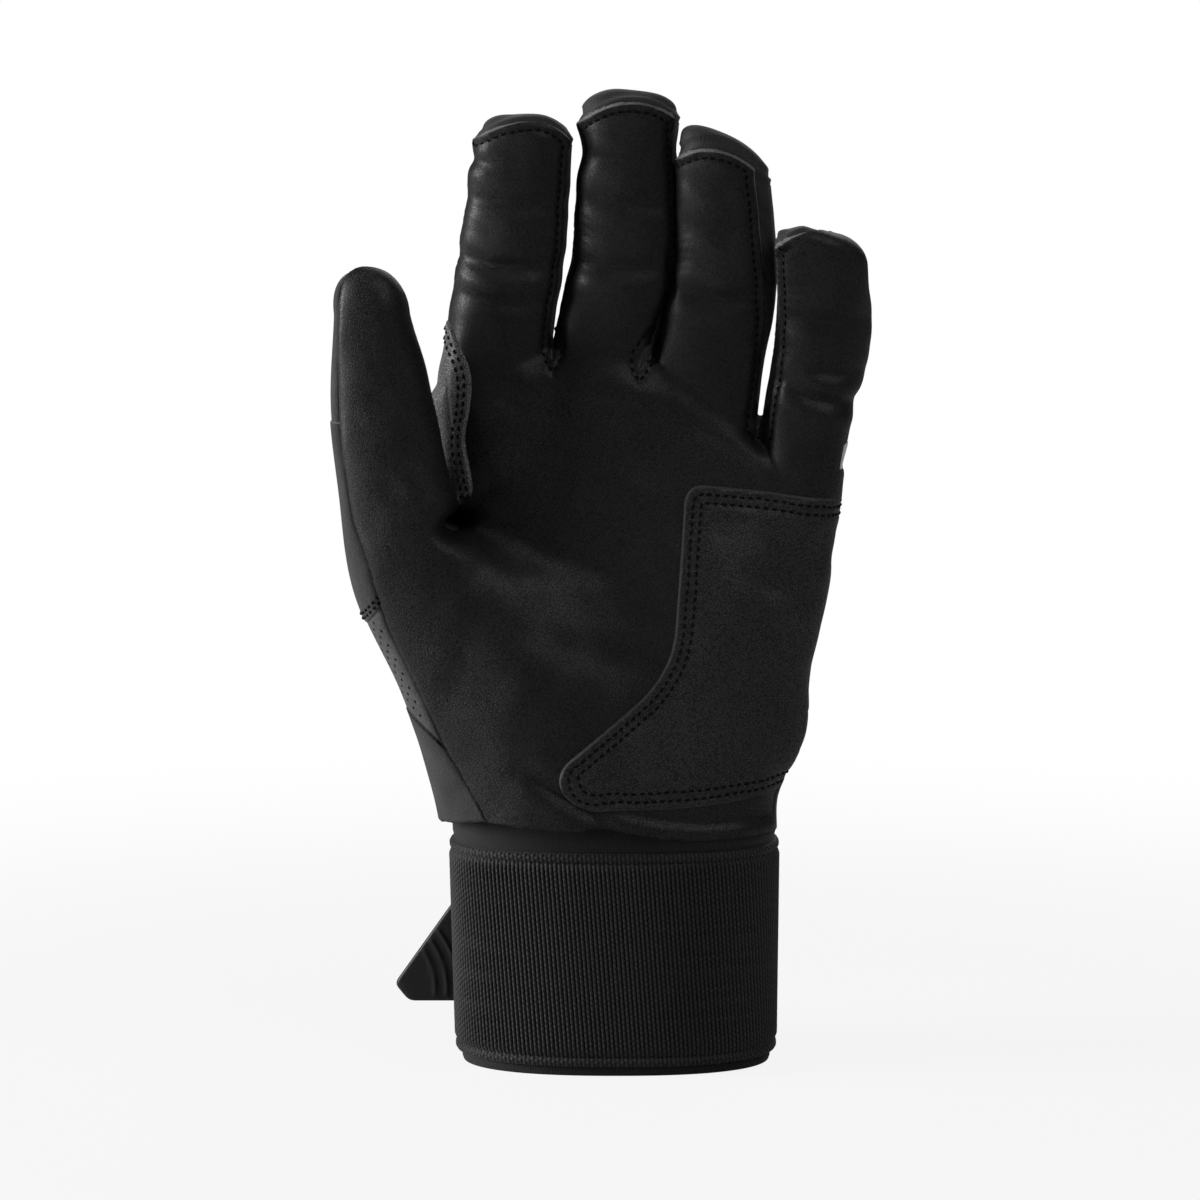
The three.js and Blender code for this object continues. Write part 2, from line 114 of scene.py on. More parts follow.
def soft_min(a, b, fillet):
    """The smaller of two distances, rounded over where they are alike."""
    overlap = np.maximum(fillet - np.abs(a - b), 0) / fillet
    return np.minimum(a, b) - overlap * overlap * fillet / 4


def smooth_step(low, high, value):
    t = np.clip((value - low) / (high - low), 0, 1)
    return t * t * (3 - 2 * t)


FOOT_FILLET = 6  # at the cut-off lower end of a limb


class Limb:
    """A finger or thumb: ovals at rising heights as (z, x, y, width, depth), and a dome on the last."""

    def __init__(self, name, rows, dome, foot, lean=0):
        z, x, y, width, depth = np.array(rows, float).T
        self.name, self.foot, self.shoulder, self.dome, self.lean = name, foot, z[-1], dome, lean
        self.x, self.y = curve_through(z, x, True), curve_through(z, y, True)
        self.half_width, self.half_depth = curve_through(z, width / 2), curve_through(z, depth / 2)

    def field(self, x, y, z):
        across, through = x - self.x(z) + OFF_CENTRE, y - self.y(z)
        rise = np.maximum(z - self.shoulder + self.lean * np.clip(across / self.half_width(z), -1, 1), 0)
        body = ray_distance((across, self.half_width(z)), (through, self.half_depth(z)), (rise, self.dome))
        return -soft_min(-body, z - self.foot, FOOT_FILLET)

    def across(self, x, z):
        """Place across the limb, from -1 at its thumb side to 1."""
        return (x - self.x(z)) / self.half_width(z)

    def turn(self, x, y, z):
        """Angle round the limb in degrees, 0 at the palm side and positive towards the little finger."""
        return np.degrees(np.arctan2(self.across(x, z), (self.y(z) - y) / self.half_depth(z)))


print("ovals of roundness", ROUNDNESS)

# %% [markdown]
# The fingers stand side by side, so their widths at three heights say where they all are. The
# sizes repeat the CAD part's. Leather on a fingertip stops short in an arch, and the back is
# folded over it: `lead` is how far below the tip the arch tops out, and `bow` its fall to
# either side. A tip's `lean` is how much lower its dome is on the little finger's side.

# %% Fingers and thumb
FINGER_GAP = 0.7
FINGER_DEPTH = (22.5, 19.5, 17)
FINGER_EDGE = (-38.2, -35.2, -30.4)  # thumb side of the index finger at root, middle and tip
ROOT_DEPTH, ROOT_DRAW = 30, 0.12  # a finger's tube reaches down into the hand, drawn in to its middle
FINGER_DOME = 7
CURL_SHARE = (0.08, 0.36, 1)
HAND_MIDDLE = 12
INDEX_BASE = (171, -25.6, -0.7, 28.2, 24)  # oval below the root crease of the index finger

FINGER_SIZES = {
    "index": dict(
        heights=(182, 203, 240.1), widths=(26.5, 26.4, 23.7), spread=(-0.6, 1.3, 1.2), curl=9, lean=0.8
    ),
    "middle": dict(
        heights=(180, 203, 246), widths=(26, 26.6, 24.6), spread=(-3, -3.1, -1), curl=11, lean=0.8
    ),
    "ring": dict(
        heights=(176, 197, 235.6), widths=(28.8, 27.4, 22.3), spread=(-0.6, -2.1, 0.1), curl=14, lean=5
    ),
    "little": dict(
        heights=(165, 185, 212), widths=(21.9, 23.7, 22.9), spread=(0, 0, 0), curl=16, lean=2.6
    ),
}
TIP_ARCH = {
    "index": dict(lead=2.2, bow=(4.6, 6), peak=0.1),
    "middle": dict(lead=3.4, bow=(5.2, 5.2), peak=0.0),
    "ring": dict(lead=4.3, bow=(2.6, 9.5), peak=-0.45),
    "little": dict(lead=0.2, bow=(5, -4), peak=0.1),
}


def place_fingers():
    """The four fingers, each beside the last at every level."""
    rows = {name: [] for name in FINGER_SIZES}
    for level, (edge, depth) in enumerate(zip(FINGER_EDGE, FINGER_DEPTH)):
        for name, size in FINGER_SIZES.items():
            width = size["widths"][level]
            height = size["heights"][level] - (FINGER_DOME if level == 2 else 0)
            rows[name].append((height, edge + width / 2, -CURL_SHARE[level] * size["curl"], width, depth))
            edge += width + FINGER_GAP + size["spread"][level]
    limbs = []
    for name, (root, *rest) in rows.items():
        z, x, y, width, depth = root
        foot = z - ROOT_DEPTH
        buried = (foot, x + (HAND_MIDDLE - x) * ROOT_DRAW, y, width * (1 - ROOT_DRAW), depth)
        base = [INDEX_BASE] if name == "index" else []
        ovals = [buried, *base, root, *rest]
        limbs.append(Limb(name, ovals, FINGER_DOME, foot, FINGER_SIZES[name]["lean"]))
    return limbs


FINGERS = place_fingers()
THUMB_DOME = 11.5
THUMB_ROWS = [
    # z, x, y, width, depth
    (58, -18, -6, 35, 30),
    (70, -22.3, -7, 37.4, 32),
    (97, -30, -11, 41.4, 35),
    (120, -40.7, -13.5, 40.4, 33),
    (148, -50.8, -18, 28.1, 25),
    (168, -54, -19.5, 25.6, 21),
    (191, -56.4, -21, 18.8, 17),
]
THUMB = Limb("thumb", THUMB_ROWS, THUMB_DOME, foot=0)
print("fingers:", [finger.name for finger in FINGERS])

# %% [markdown]
# ## The palm, and one skin over everything
# The palm is a limb too, but its top slants: the finger roots fall away towards the little
# finger. A point's height is therefore read along that slant before its oval is looked up.

# %% The palm's field and the whole glove's
PALM_ROWS = [
    # z, x, width, depth, share of the slant
    (58, 2.8, 83, 49.5, 0),
    (66.3, 2.8, 83, 50, 0),
    (84, 5, 93.2, 47.5, 0),
    (97, 4.5, 95.6, 45, 0),
    (125, 7.6, 99.2, 38, 0.2),
    (150, 8.3, 97.6, 30, 0.6),
    (170, 8.05, 99.3, 23.5, 1),
]
KNUCKLE_FALL, EDGE_FALL, MOST_FALL = 16, 19.5, 22
PALM_TOP, PALM_DOME = 170, 6
WEB_FILLET, BALL_FILLET, ROOT_FILLET = 5, 32, 9
palm_z, *palm_columns = np.array(PALM_ROWS, float).T
palm_x, palm_width, palm_depth, palm_slant = (curve_through(palm_z, column) for column in palm_columns)


def palm_field(x, y, z):
    """Distance outside the palm, whose height is read along its slant in three steps."""
    height = z
    for _ in range(3):
        share = np.clip((x - palm_x(height)) / (palm_width(height) / 2), -1.2, 1.2)
        fall = np.minimum(KNUCKLE_FALL * share + EDGE_FALL * share**2, MOST_FALL)
        height = z + palm_slant(height) * fall
    across = x - palm_x(height) + OFF_CENTRE
    rise = np.maximum(height - PALM_TOP, 0)
    return ray_distance((across, palm_width(height) / 2), (y, palm_depth(height) / 2), (rise, PALM_DOME))


BALL_HEIGHTS, BALL_SPAN = (141, 122), (-52, -18)  # over which the ball of the thumb grows round
HOLLOW, HOLLOW_HALVES, HOLLOW_FILLET = (-35.3, -21, 138.6), (3.5, 23, 2.4), 8  # pit below the thumb's web


def hand_field(x, y, z):
    """Palm and thumb in one, with the pit cut into them."""
    ball = smooth_step(*BALL_HEIGHTS, z) * smooth_step(*BALL_SPAN, x)
    fillet = WEB_FILLET + (BALL_FILLET - WEB_FILLET) * ball
    whole = soft_min(palm_field(x, y, z), THUMB.field(x, y, z), fillet)
    offsets = (axis - middle + OFF_CENTRE for axis, middle in zip((x, y, z), HOLLOW))
    return -soft_min(-whole, ray_distance(*zip(offsets, HOLLOW_HALVES)), HOLLOW_FILLET)


CROTCH = curve_through([-45, -12, 13.6, 41, 65], [171, 178.3, 175.2, 160.8, 164])
BORDER_SLANT = (0, 0.3, 0.1)  # closed slits lean, so that no light passes
BORDER_REACH = 10  # of that lean, in depth
BURIED_FILLET = 6  # between two fingers inside the palm
FAR_APART = 60  # keeps them from merging above the crotch
ROOM, PRESS = 0.3, 0.8  # of a finger's skin from its border with the next, and the rounding of that flat
ROOM_BELOW = -4  # lets neighbours overlap inside the palm


def finger_borders(y, z):
    """Where one finger ends and the next begins, at each depth and height."""
    borders = []
    for finger, after, slant in zip(FINGERS, FINGERS[1:], BORDER_SLANT):
        right, left = finger.x(z) + finger.half_width(z), after.x(z) - after.half_width(z)
        behind = np.clip(y - (finger.y(z) + after.y(z)) / 2, -BORDER_REACH, BORDER_REACH)
        borders.append((right + left) / 2 + slant * behind)
    return borders


def finger_field(n, x, y, z):
    """A finger's field: one with its neighbours below the crotches, and pressed flat against them above."""
    body = FINGERS[n].field(x, y, z)
    above = z - CROTCH(x)
    apart = FAR_APART * smooth_step(2, 8, above)
    for beside in FINGERS[max(n - 1, 0) : n] + FINGERS[n + 1 : n + 2]:
        body = soft_min(body, beside.field(x, y, z) + apart, BURIED_FILLET)
    room = ROOM_BELOW + (ROOM - ROOM_BELOW) * smooth_step(-2, 6, above)
    borders = finger_borders(y, z)
    if n > 0:
        body = -soft_min(-body, x - borders[n - 1] - room, PRESS)
    if n < len(FINGERS) - 1:
        body = -soft_min(-body, borders[n] - x - room, PRESS)
    return body


print("palm field at its middle, mm:", round(float(palm_field(12.0, 0.0, 120.0)), 1))

# %% [markdown]
# A field turns into a mesh by a surface net: a grid of samples, one vertex in each cell that
# the surface crosses, one face across each grid edge that it crosses. Neighbouring fingers
# lie less than a cell apart, so the grid's columns are bent to follow the slits between them.

# %% Sample the field on a grid
STEP = 0.9
SLIT = 0.28  # half of the slit between two fingers
GRID_LEFT, GRID_RIGHT = -73, 75
heights = np.arange(54, 250, STEP)
depths = np.arange(-36, 30, STEP)


def grid_columns():
    """The x of each column at each depth and height, and the finger it belongs to, or -1 in a slit."""
    level = np.zeros((len(depths), len(heights)))
    borders = finger_borders(depths[:, None], heights[None, :])
    edges = [level + edge for edge in (GRID_LEFT, *borders, GRID_RIGHT)]
    columns, owners = [], []
    for n, (left, right) in enumerate(zip(edges, edges[1:])):
        first, last = left + SLIT * (n > 0), right - SLIT * (n < len(FINGERS) - 1)
        for share in np.linspace(0, 1, round(np.mean(right - left) / STEP) + 1):
            columns.append(first + (last - first) * share)
            owners.append(n)
        if n < len(FINGERS) - 1:
            columns.append(right)
            owners.append(-1)
    return np.array(columns), np.array(owners)


def sample(columns, owners):
    """The glove's field at every grid point: a slit takes the farther of the fingers beside it."""
    x, y, z = columns, depths[None, :, None], heights[None, None, :]
    hand = hand_field(x, y, z)
    values = np.empty_like(hand)
    for n in range(len(FINGERS)):
        mine = owners == n
        values[mine] = soft_min(hand[mine], finger_field(n, x[mine], y, z), ROOT_FILLET)
    for slit in np.flatnonzero(owners < 0):
        beside = [finger_field(owners[slit + side], x[slit], y[0], z[0]) for side in (-1, 1)]
        values[slit] = np.maximum(*(soft_min(hand[slit], field, ROOT_FILLET) for field in beside))
    return values


columns, owners = grid_columns()
values = sample(columns, owners)
print("grid:", values.shape)


# %% Net the surface
def surface_net(values):
    """Vertices, quads that face outwards, and each vertex's column."""
    inside = values < 0
    corners = [(i, j, k) for i in (0, 1) for j in (0, 1) for k in (0, 1)]
    size = np.array(values.shape) - 1
    window = [tuple(slice(o, o + n) for o, n in zip(corner, size)) for corner in corners]
    count = sum(inside[w].astype(np.int8) for w in window)
    i, j, k = cell = np.nonzero((count > 0) & (count < 8))
    number = np.full(size, -1)
    number[cell] = np.arange(len(i))
    total, crossings = np.zeros((len(i), 3)), np.zeros(len(i))
    for a in corners:
        for axis in range(3):
            if a[axis]:
                continue
            b = tuple(a[n] + (n == axis) for n in range(3))
            ends = [(i + c[0], j + c[1], k + c[2]) for c in (a, b)]
            low, high = values[ends[0]], values[ends[1]]
            crossed = (low < 0) != (high < 0)
            share = np.where(crossed, low / np.where(crossed, low - high, 1), 0)[:, None]
            p, q = (np.stack([columns[e], depths[e[1]], heights[e[2]]], 1) for e in ends)
            total += np.where(crossed[:, None], p + (q - p) * share, 0)
            crossings += crossed
    quads = []
    for axis in range(3):
        u, v = (axis + 1) % 3, (axis + 2) % 3
        ahead = np.roll(inside, -1, axis)
        edge = [slice(1, -1)] * 3
        edge[axis] = slice(0, -1)
        low, high = inside[tuple(edge)], ahead[tuple(edge)]
        place = np.array(np.nonzero(low != high))
        outward = low[tuple(place)]
        place[u] += 1
        place[v] += 1
        ring = []
        for du, dv in ((-1, -1), (0, -1), (0, 0), (-1, 0)):
            at = place.copy()
            at[u] += du
            at[v] += dv
            ring.append(number[tuple(at)])
        ring = np.array(ring).T
        quads.append(np.where(outward[:, None], ring, ring[:, ::-1]))
    return total / crossings[:, None], np.concatenate(quads), i


points, quads, column_of = surface_net(values)
owner = np.where(owners[column_of] < 0, owners[column_of + 1], owners[column_of])
faces = np.concatenate([quads[:, [0, 1, 2]], quads[:, [0, 2, 3]]])
print("skin:", len(points), "vertices,", len(quads), "quads")

# %% [markdown]
# The net's vertices sit near the surface, in rows like stairs. Averaging each with its
# neighbours evens them out, and a Newton step along the field's slope puts them back exactly.


# %% Even the skin out
def glove_field(p):
    """The field at the skin's vertices, each in its own finger."""
    x, y, z = p.T
    out = np.empty(len(p))
    for n in range(len(FINGERS)):
        mine = owner == n
        at = x[mine], y[mine], z[mine]
        out[mine] = soft_min(hand_field(*at), finger_field(n, *at), ROOT_FILLET)
    return out


PROBE, LEAST_SLOPE, MOST_STEP = 0.05, 0.2, 0.6


def settle(p, rounds=2):
    """Moves each point to the surface along the field's slope."""
    for _ in range(rounds):
        rises = [glove_field(p + step) - glove_field(p - step) for step in np.eye(3) * PROBE]
        slope = np.stack(rises, 1) / (2 * PROBE)
        steep = np.maximum((slope**2).sum(1), LEAST_SLOPE)
        p = p - np.clip(glove_field(p) / steep, -MOST_STEP, MOST_STEP)[:, None] * slope
    return p


def neighbour_mean(p, pairs):
    total, count = np.zeros_like(p), np.zeros(len(p))
    for a, b in (pairs.T, pairs.T[::-1]):
        np.add.at(total, a, p[b])
        np.add.at(count, a, 1)
    return total / np.maximum(count, 1)[:, None]


def unit(rows):
    return rows / np.maximum(np.linalg.norm(rows, axis=-1, keepdims=True), 1e-9)


def vertex_normals(p, tris):
    face = np.cross(p[tris[:, 1]] - p[tris[:, 0]], p[tris[:, 2]] - p[tris[:, 0]])
    total = np.zeros_like(p)
    for corner in range(3):
        np.add.at(total, tris[:, corner], face)
    return unit(total)


sides = np.sort(quads[:, [[0, 1], [1, 2], [2, 3], [3, 0]]].reshape(-1, 2), axis=1)
sides = np.unique(sides, axis=0)
inner = (points[:, 2] > heights[0] + 1.5 * STEP)[:, None]
for _ in range(3):
    points = np.where(inner, settle(neighbour_mean(points, sides)), points)
normals = vertex_normals(points, faces)
print("off the surface, mm:", round(float(np.abs(glove_field(points)).max()), 3))

# %% [markdown]
# ## Seams
# Each seam is the zero line of a number kept on every vertex: about the distance in
# millimetres from the seam, positive on one side. Cutting, stitching and creasing then all
# read the same number. On a finger the leather runs round the front and one side, a gusset
# fills the other side, and above the arch the back comes over the tip.

# %% Distances from the seams
# Angle of the stitched seam round a finger, at its root and at its tip
SEAM_ANGLE = {"index": (58, 58), "middle": (66, 54), "ring": (60, 35), "little": (57, 57)}
WRAP_ANGLE, GUSSET_ANGLE = 108, 60
MM_PER_DEGREE = 0.19
FAR = 99.0  # a distance that stands for no seam near
TIP_CLEAR, TIP_REACH = 1.6, 3.8  # stitches end this far below a fingertip, or below one without a lead
SEAM_SIDE = {"index": 1, "middle": 1, "ring": 1, "little": -1}
ZONE_DROP = 7  # the moving pieces start this far below the crotches
SIDE_SEAM = curve_through([-70, -44, -32, 30, 62], [-15, -15, -4, 1, 2.5])
WRIST_TURN = 10  # how far the side seam comes forward at the wrist, on the little finger's side
THUMB_LINE_X = (-26.2, -32.4, -39.2, -45.2, -52.8, -56, -60.5, -62.5)
THUMB_LINE_Z = (62, 73, 84, 98, 114, 125, 150, 175)
HEM = curve_through(
    [-42, -28, -19, -8, 1, 8, 16, 30, 44], [62, 64.8, 64.2, 63.1, 63.6, 62, 60.4, 59.2, 59.4]
)
THUMB_FOOT = 146  # lower end of the thumb's moving pieces
PANEL_EDGE_X = (-26, -32, -38.6, -44.6, -49, -46, -39, -32)
PANEL_EDGE_Z = (62, 73, 84, 98, 110, 125, 138, 147)

x, y, z = points.T
fields = {"hem": z - HEM(x), "zone": z - CROTCH(x) + ZONE_DROP}
others = np.minimum(palm_field(x, y, z), FINGERS[0].field(x, y, z))
thumb_share = others - THUMB.field(x, y, z)  # positive on the thumb
fields["thumb"] = np.minimum(thumb_share, z - THUMB_FOOT)
fields["thumb_panel"] = x - np.interp(z, PANEL_EDGE_Z, PANEL_EDGE_X)
fields["thumb_line"] = 0.87 * (x - np.interp(z, THUMB_LINE_Z, THUMB_LINE_X))
for n in range(len(FINGERS) - 1):
    fields[f"after_{FINGERS[n].name}"] = np.where(owner > n, 1.0, -1.0)


def wrist_turn(x, z):
    """1 where the side seam is turned forward at the wrist, 0 elsewhere."""
    return smooth_step(92.5, 88, z) * smooth_step(26, 40, x)


def side_seam(x, z):
    """Depth of the seam between the palm and the back."""
    return SIDE_SEAM(x) - WRIST_TURN * wrist_turn(x, z)


def tip_arch(finger, across):
    """Height of the leather's arched edge on a fingertip."""
    arch = TIP_ARCH[finger.name]
    peak = arch["peak"]
    side = (across - peak) / np.where(across > peak, 1 - peak, 1 + peak)
    bow = np.where(across > peak, arch["bow"][1], arch["bow"][0])
    return finger.shoulder + finger.dome - arch["lead"] - bow * np.abs(side) ** 2.2


hand_leather = soft_min(fields["thumb_line"], side_seam(x, z) - y, 3)
leather, back, arch_rise = hand_leather.copy(), -hand_leather, np.full(len(x), -FAR)
stitch_line = np.full(len(x), FAR)  # like leather, but only beside the seams whose stitches show
on_thumb = smooth_step(-1, 2, thumb_share)
for n, finger in enumerate(FINGERS):
    mine = owner == n
    at = x[mine], y[mine], z[mine]
    turn = finger.turn(*at) * SEAM_SIDE[finger.name]
    rise = at[2] - tip_arch(finger, finger.across(at[0], at[2]))
    root, middle, _ = FINGER_SIZES[finger.name]["heights"]
    low_angle, high_angle = SEAM_ANGLE[finger.name]
    to_seam = low_angle + (high_angle - low_angle) * smooth_step(root - 4, middle + 12, at[2]) - turn
    front = np.minimum(np.minimum(to_seam, turn + WRAP_ANGLE) * MM_PER_DEGREE, -rise)
    behind = np.maximum(-to_seam - GUSSET_ANGLE, -WRAP_ANGLE - turn) * MM_PER_DEGREE
    share = smooth_step(-2, 8, at[2] - CROTCH(at[0])) * (1 - on_thumb[mine])
    leather[mine] += (front - leather[mine]) * share
    back[mine] += (np.maximum(behind, rise) - back[mine]) * share
    arch_rise[mine] = np.where(on_thumb[mine] > 0.5, -FAR, rise)
    seam = np.minimum(to_seam * MM_PER_DEGREE, -rise)
    apex = finger.shoulder + finger.dome - max(TIP_CLEAR, TIP_REACH - TIP_ARCH[finger.name]["lead"])
    shown = (turn > -75) & (at[2] < apex) & (at[2] > CROTCH(at[0]) - 2)
    stitch_line[mine] = np.where(shown, seam, FAR)

print("finger leather:", int(((leather > 0) & (arch_rise > -FAR)).sum()), "vertices")

# %% [markdown]
# The thumb's seams run round it in the same way. Below each slit between two fingers a narrow
# V is cut into the leather, and the gusset shows in it.

# %% Thumb seams and the notches between fingers
THUMB_SEAM_ANGLE, THUMB_WRAP_ANGLE = 50, 105
thumb_turn = THUMB.turn(x, y, z)
thumb_front = np.minimum(thumb_turn + THUMB_SEAM_ANGLE, THUMB_WRAP_ANGLE - thumb_turn) * MM_PER_DEGREE
share = smooth_step(THUMB_FOOT - 18, THUMB_FOOT - 2, z) * on_thumb
leather += (thumb_front - leather) * share
back += (-thumb_front - back) * share
stitch_line = np.where(thumb_share > 0, FAR, stitch_line)

NOTCH_RISE, NOTCH_WIDTH = 10, 2.8  # of the V cut into the leather below the slit between two fingers
for border in finger_borders(y, z):
    climb = (z - CROTCH(border)) / NOTCH_RISE
    notch = np.abs(x - border) - NOTCH_WIDTH / 2 * np.clip(climb, 0, 1) ** 0.5
    notch += 6 * np.maximum(-climb, 0) + 5 * np.maximum(climb - 0.5, 0)
    near = (np.abs(x - border) < 7) & (y < 0) & (climb < 1.6)
    leather = np.where(near, np.minimum(leather, notch), leather)
    back = np.where(near & (notch < 2), np.minimum(back, -1), back)
    stitch_line = np.where(near, np.minimum(stitch_line, notch), stitch_line)
fields.update(leather=leather, back=back, stitch_line=stitch_line)
print("leather covers", round(100 * float((leather > 0).mean())), "% of the skin")

# %% [markdown]
# The pieces sewn on top have outlines of their own, drawn in the front view. The heel patch
# is a polygon with rounded corners, so its distance is measured to a finely walked outline.

# %% Outlines of the pieces on top
HEEL_CORNERS = [
    # x, z, corner radius
    (90, 139, 0),
    (60, 143.2, 20),
    (21.5, 148.2, 5),
    (18.4, 101.5, 12),
    (-11, 78, 4.5),
    (-6.5, 68.8, 6),
    (30, 68.2, 20),
    (90, 80, 0),
]


def rounded_outline(corners, step=0.8):
    """Points along a closed polygon whose corners are rounded by arcs of a parabola."""
    p = np.array([corner[:2] for corner in corners], float)
    path = []
    for before, here, after, radius in zip(np.roll(p, 1, 0), p, np.roll(p, -1, 0), [c[2] for c in corners]):
        arms = [(end - here) / np.linalg.norm(end - here) * radius for end in (before, after)]
        for t in np.linspace(0, 1, 9 if radius else 1):
            path.append(here + arms[0] * (1 - t) ** 2 + arms[1] * t**2)
    path = np.array(path)
    long = np.concatenate([path, path[:1]])
    along = np.concatenate([[0], np.cumsum(np.linalg.norm(np.diff(long, axis=0), axis=1))])
    at = np.linspace(0, along[-1], int(along[-1] / step))
    return np.stack([np.interp(at, along, long[:, n]) for n in (0, 1)], 1)[:-1]


def line_distance(line, px, pz):
    """Distance from a line of points, and how far along it the nearest place is, from 0 to 1."""
    line = np.array(line, float)
    lengths = np.linalg.norm(np.diff(line, axis=0), axis=1)
    starts = np.concatenate([[0], np.cumsum(lengths)])
    near, along = np.full(len(px), np.inf), np.zeros(len(px))
    for (ax, az), (bx, bz), start, length in zip(line, line[1:], starts, lengths):
        t = np.clip(((px - ax) * (bx - ax) + (pz - az) * (bz - az)) / length**2, 0, 1)
        d = np.hypot(px - ax - t * (bx - ax), pz - az - t * (bz - az))
        along = np.where(d < near, (start + t * length) / starts[-1], along)
        near = np.minimum(near, d)
    return near, along


def inside_outline(outline, px, pz):
    """Distance inside a closed outline, negative outside it."""
    closed = np.concatenate([outline, outline[:1]])
    near, _ = line_distance(closed, px, pz)
    crossings = np.zeros(len(px), int)
    for (ax, az), (bx, bz) in zip(closed, closed[1:]):
        straddles = (az > pz) != (bz > pz)
        crossings += straddles & (px < ax + (pz - az) * (bx - ax) / (bz - az + 1e-12))
    return np.where(crossings % 2 == 1, near, -near)


fields["heel_outline"] = inside_outline(rounded_outline(HEEL_CORNERS), x, z)
fields["side_seam"] = side_seam(x, z) - y
fields["heel"] = np.minimum(fields["heel_outline"], fields["side_seam"])

STRIP_HEM = curve_through(
    [140, 145, 151, 160, 168, 175, 184, 190], [-32.4, -32, -32.6, -33.9, -32.6, -32.5, -35.8, -38.6]
)
STRIP_FOOT, STRIP_TOP, STRIP_BACK = 143.5, 189, 4  # the last is a depth
fields["strip_hem"] = STRIP_HEM(z) - x
strip = np.minimum(fields["strip_hem"], np.minimum(z - STRIP_FOOT, STRIP_TOP - z))
fields["strip"] = np.minimum(np.minimum(strip, STRIP_BACK - y), -thumb_share)
TRIM_FOOT, TRIM_TOP, TRIM_LEFT, TRIM_FRONT = 151, 157.4, 46, -6.5
trim_height = np.minimum(z - TRIM_FOOT, TRIM_TOP - z)
fields["trim"] = np.minimum(trim_height, np.minimum(y - TRIM_FRONT, x - TRIM_LEFT))
print("heel patch:", int((fields["heel"] > 0).sum()), "vertices")

# %% [markdown]
# ## Folds in the leather
# Leather that bends keeps its creases: bands across the fingers at the joints, and a fold
# over the wrist. A bump texture could fake them, but it would leave the outline smooth, so
# the skin itself is moved. Each crease is a short line in the front view with a depth and a
# width: a dip along the line, and a soft swell on either side of it.

# %% Creases and swells
CREASES = [
    # line as x, z points, depth, width
    ([(-34, 229), (-26, 227.5)], 0.5, 1.6),
    ([(-35, 219.5), (-22, 217.6), (-9, 217.2)], 0.75, 2.6),
    ([(-37, 205.5), (-27, 202.2), (-11, 201.6)], 1.1, 2.6),
    ([(-37, 196), (-28, 193.6), (-14, 192.6)], 0.5, 2.2),
    ([(-4, 218.6), (8, 217.4), (18, 217.8)], 0.7, 2.6),
    ([(-7, 202.8), (6, 201.6), (17, 202.4)], 0.9, 2.6),
    ([(-4, 229.6), (6, 228.6), (15, 229.4)], 0.4, 2.2),
    ([(21, 213.2), (31, 211.4), (40, 211.6)], 0.6, 2.6),
    ([(19, 196.2), (30, 194), (42, 194.6)], 0.9, 2.6),
    ([(22, 224), (31, 222.6), (39, 223.4)], 0.4, 2.2),
    ([(45, 190), (55, 188.4), (66, 189.2)], 0.6, 2.4),
    ([(46, 173.6), (53, 169.4), (60, 167.8), (66, 169)], 0.9, 2.2),
    ([(50, 177), (57, 175.6), (65, 176.4)], 0.5, 2.0),
    ([(-30, 172), (-20, 168), (-10, 167)], 0.45, 3.2),
    ([(-33, 143), (-27, 147), (-21, 149)], 0.6, 2.6),
    ([(-31, 151), (-25, 153), (-18, 153.5)], 0.4, 2.6),
    ([(-20, 79), (-8, 71.5), (4, 63.5)], 0.9, 2.4),
    ([(12, 66), (26, 63.6), (40, 64)], 0.4, 2.0),
    ([(36, 125), (46, 121), (54, 120)], 0.3, 3.0),
    ([(-58, 172), (-50, 169.5)], 0.3, 2.4),
    ([(-57, 151), (-47, 147)], 0.35, 2.8),
]


def hill(distance, width):
    """1 at no distance, falling off smoothly over a width."""
    return np.exp(-((distance / width) ** 2))


rng = np.random.default_rng(11)
CREASE_SHARE = 1.25
facing = smooth_step(0.35, -0.25, normals[:, 1])  # 1 where the skin faces the viewer
in_front = smooth_step(0.4, 0.0, normals[:, 1])
move = np.zeros(len(x))
for line, depth, width in CREASES:
    distance, along = line_distance(line, x, z)
    taper = np.sin(np.pi * np.clip(along, 0.04, 0.96)) ** 0.6
    swell = 0.5 * hill(distance - 1.9 * width, width)
    move += CREASE_SHARE * facing * taper * depth * (swell - hill(distance, 0.8 * width))
SWELLS = [
    # x, z, half width, half height, rise
    (33, 122, 9, 22, 1.4),
    (15, 133, 8, 14, 0.8),
]  # of the palm's leather, over the hand inside
for swell_x, swell_z, wide, tall, rise in SWELLS:
    move += rise * facing * hill(x - swell_x, wide) * hill(z - swell_z, tall)

UNDULATIONS, UNDULATION_DEPTH, UNDULATION_PITCH = 14, 0.065, (9, 24)
for _ in range(UNDULATIONS):
    direction = rng.normal(size=3)
    direction /= np.linalg.norm(direction)
    pitch, phase = rng.uniform(*UNDULATION_PITCH), rng.uniform(0, 2 * np.pi)
    move += UNDULATION_DEPTH * np.sin(points @ direction * 2 * np.pi / pitch + phase) * (leather > 0)

print("creases move the skin by", round(float(move.min()), 2), "to", round(float(move.max()), 2), "mm")

# %% [markdown]
# Thread pulls the leather down, so a groove runs along each row of stitches. A turned edge
# is rolled, and the seam between leather and suede lies in a dip.

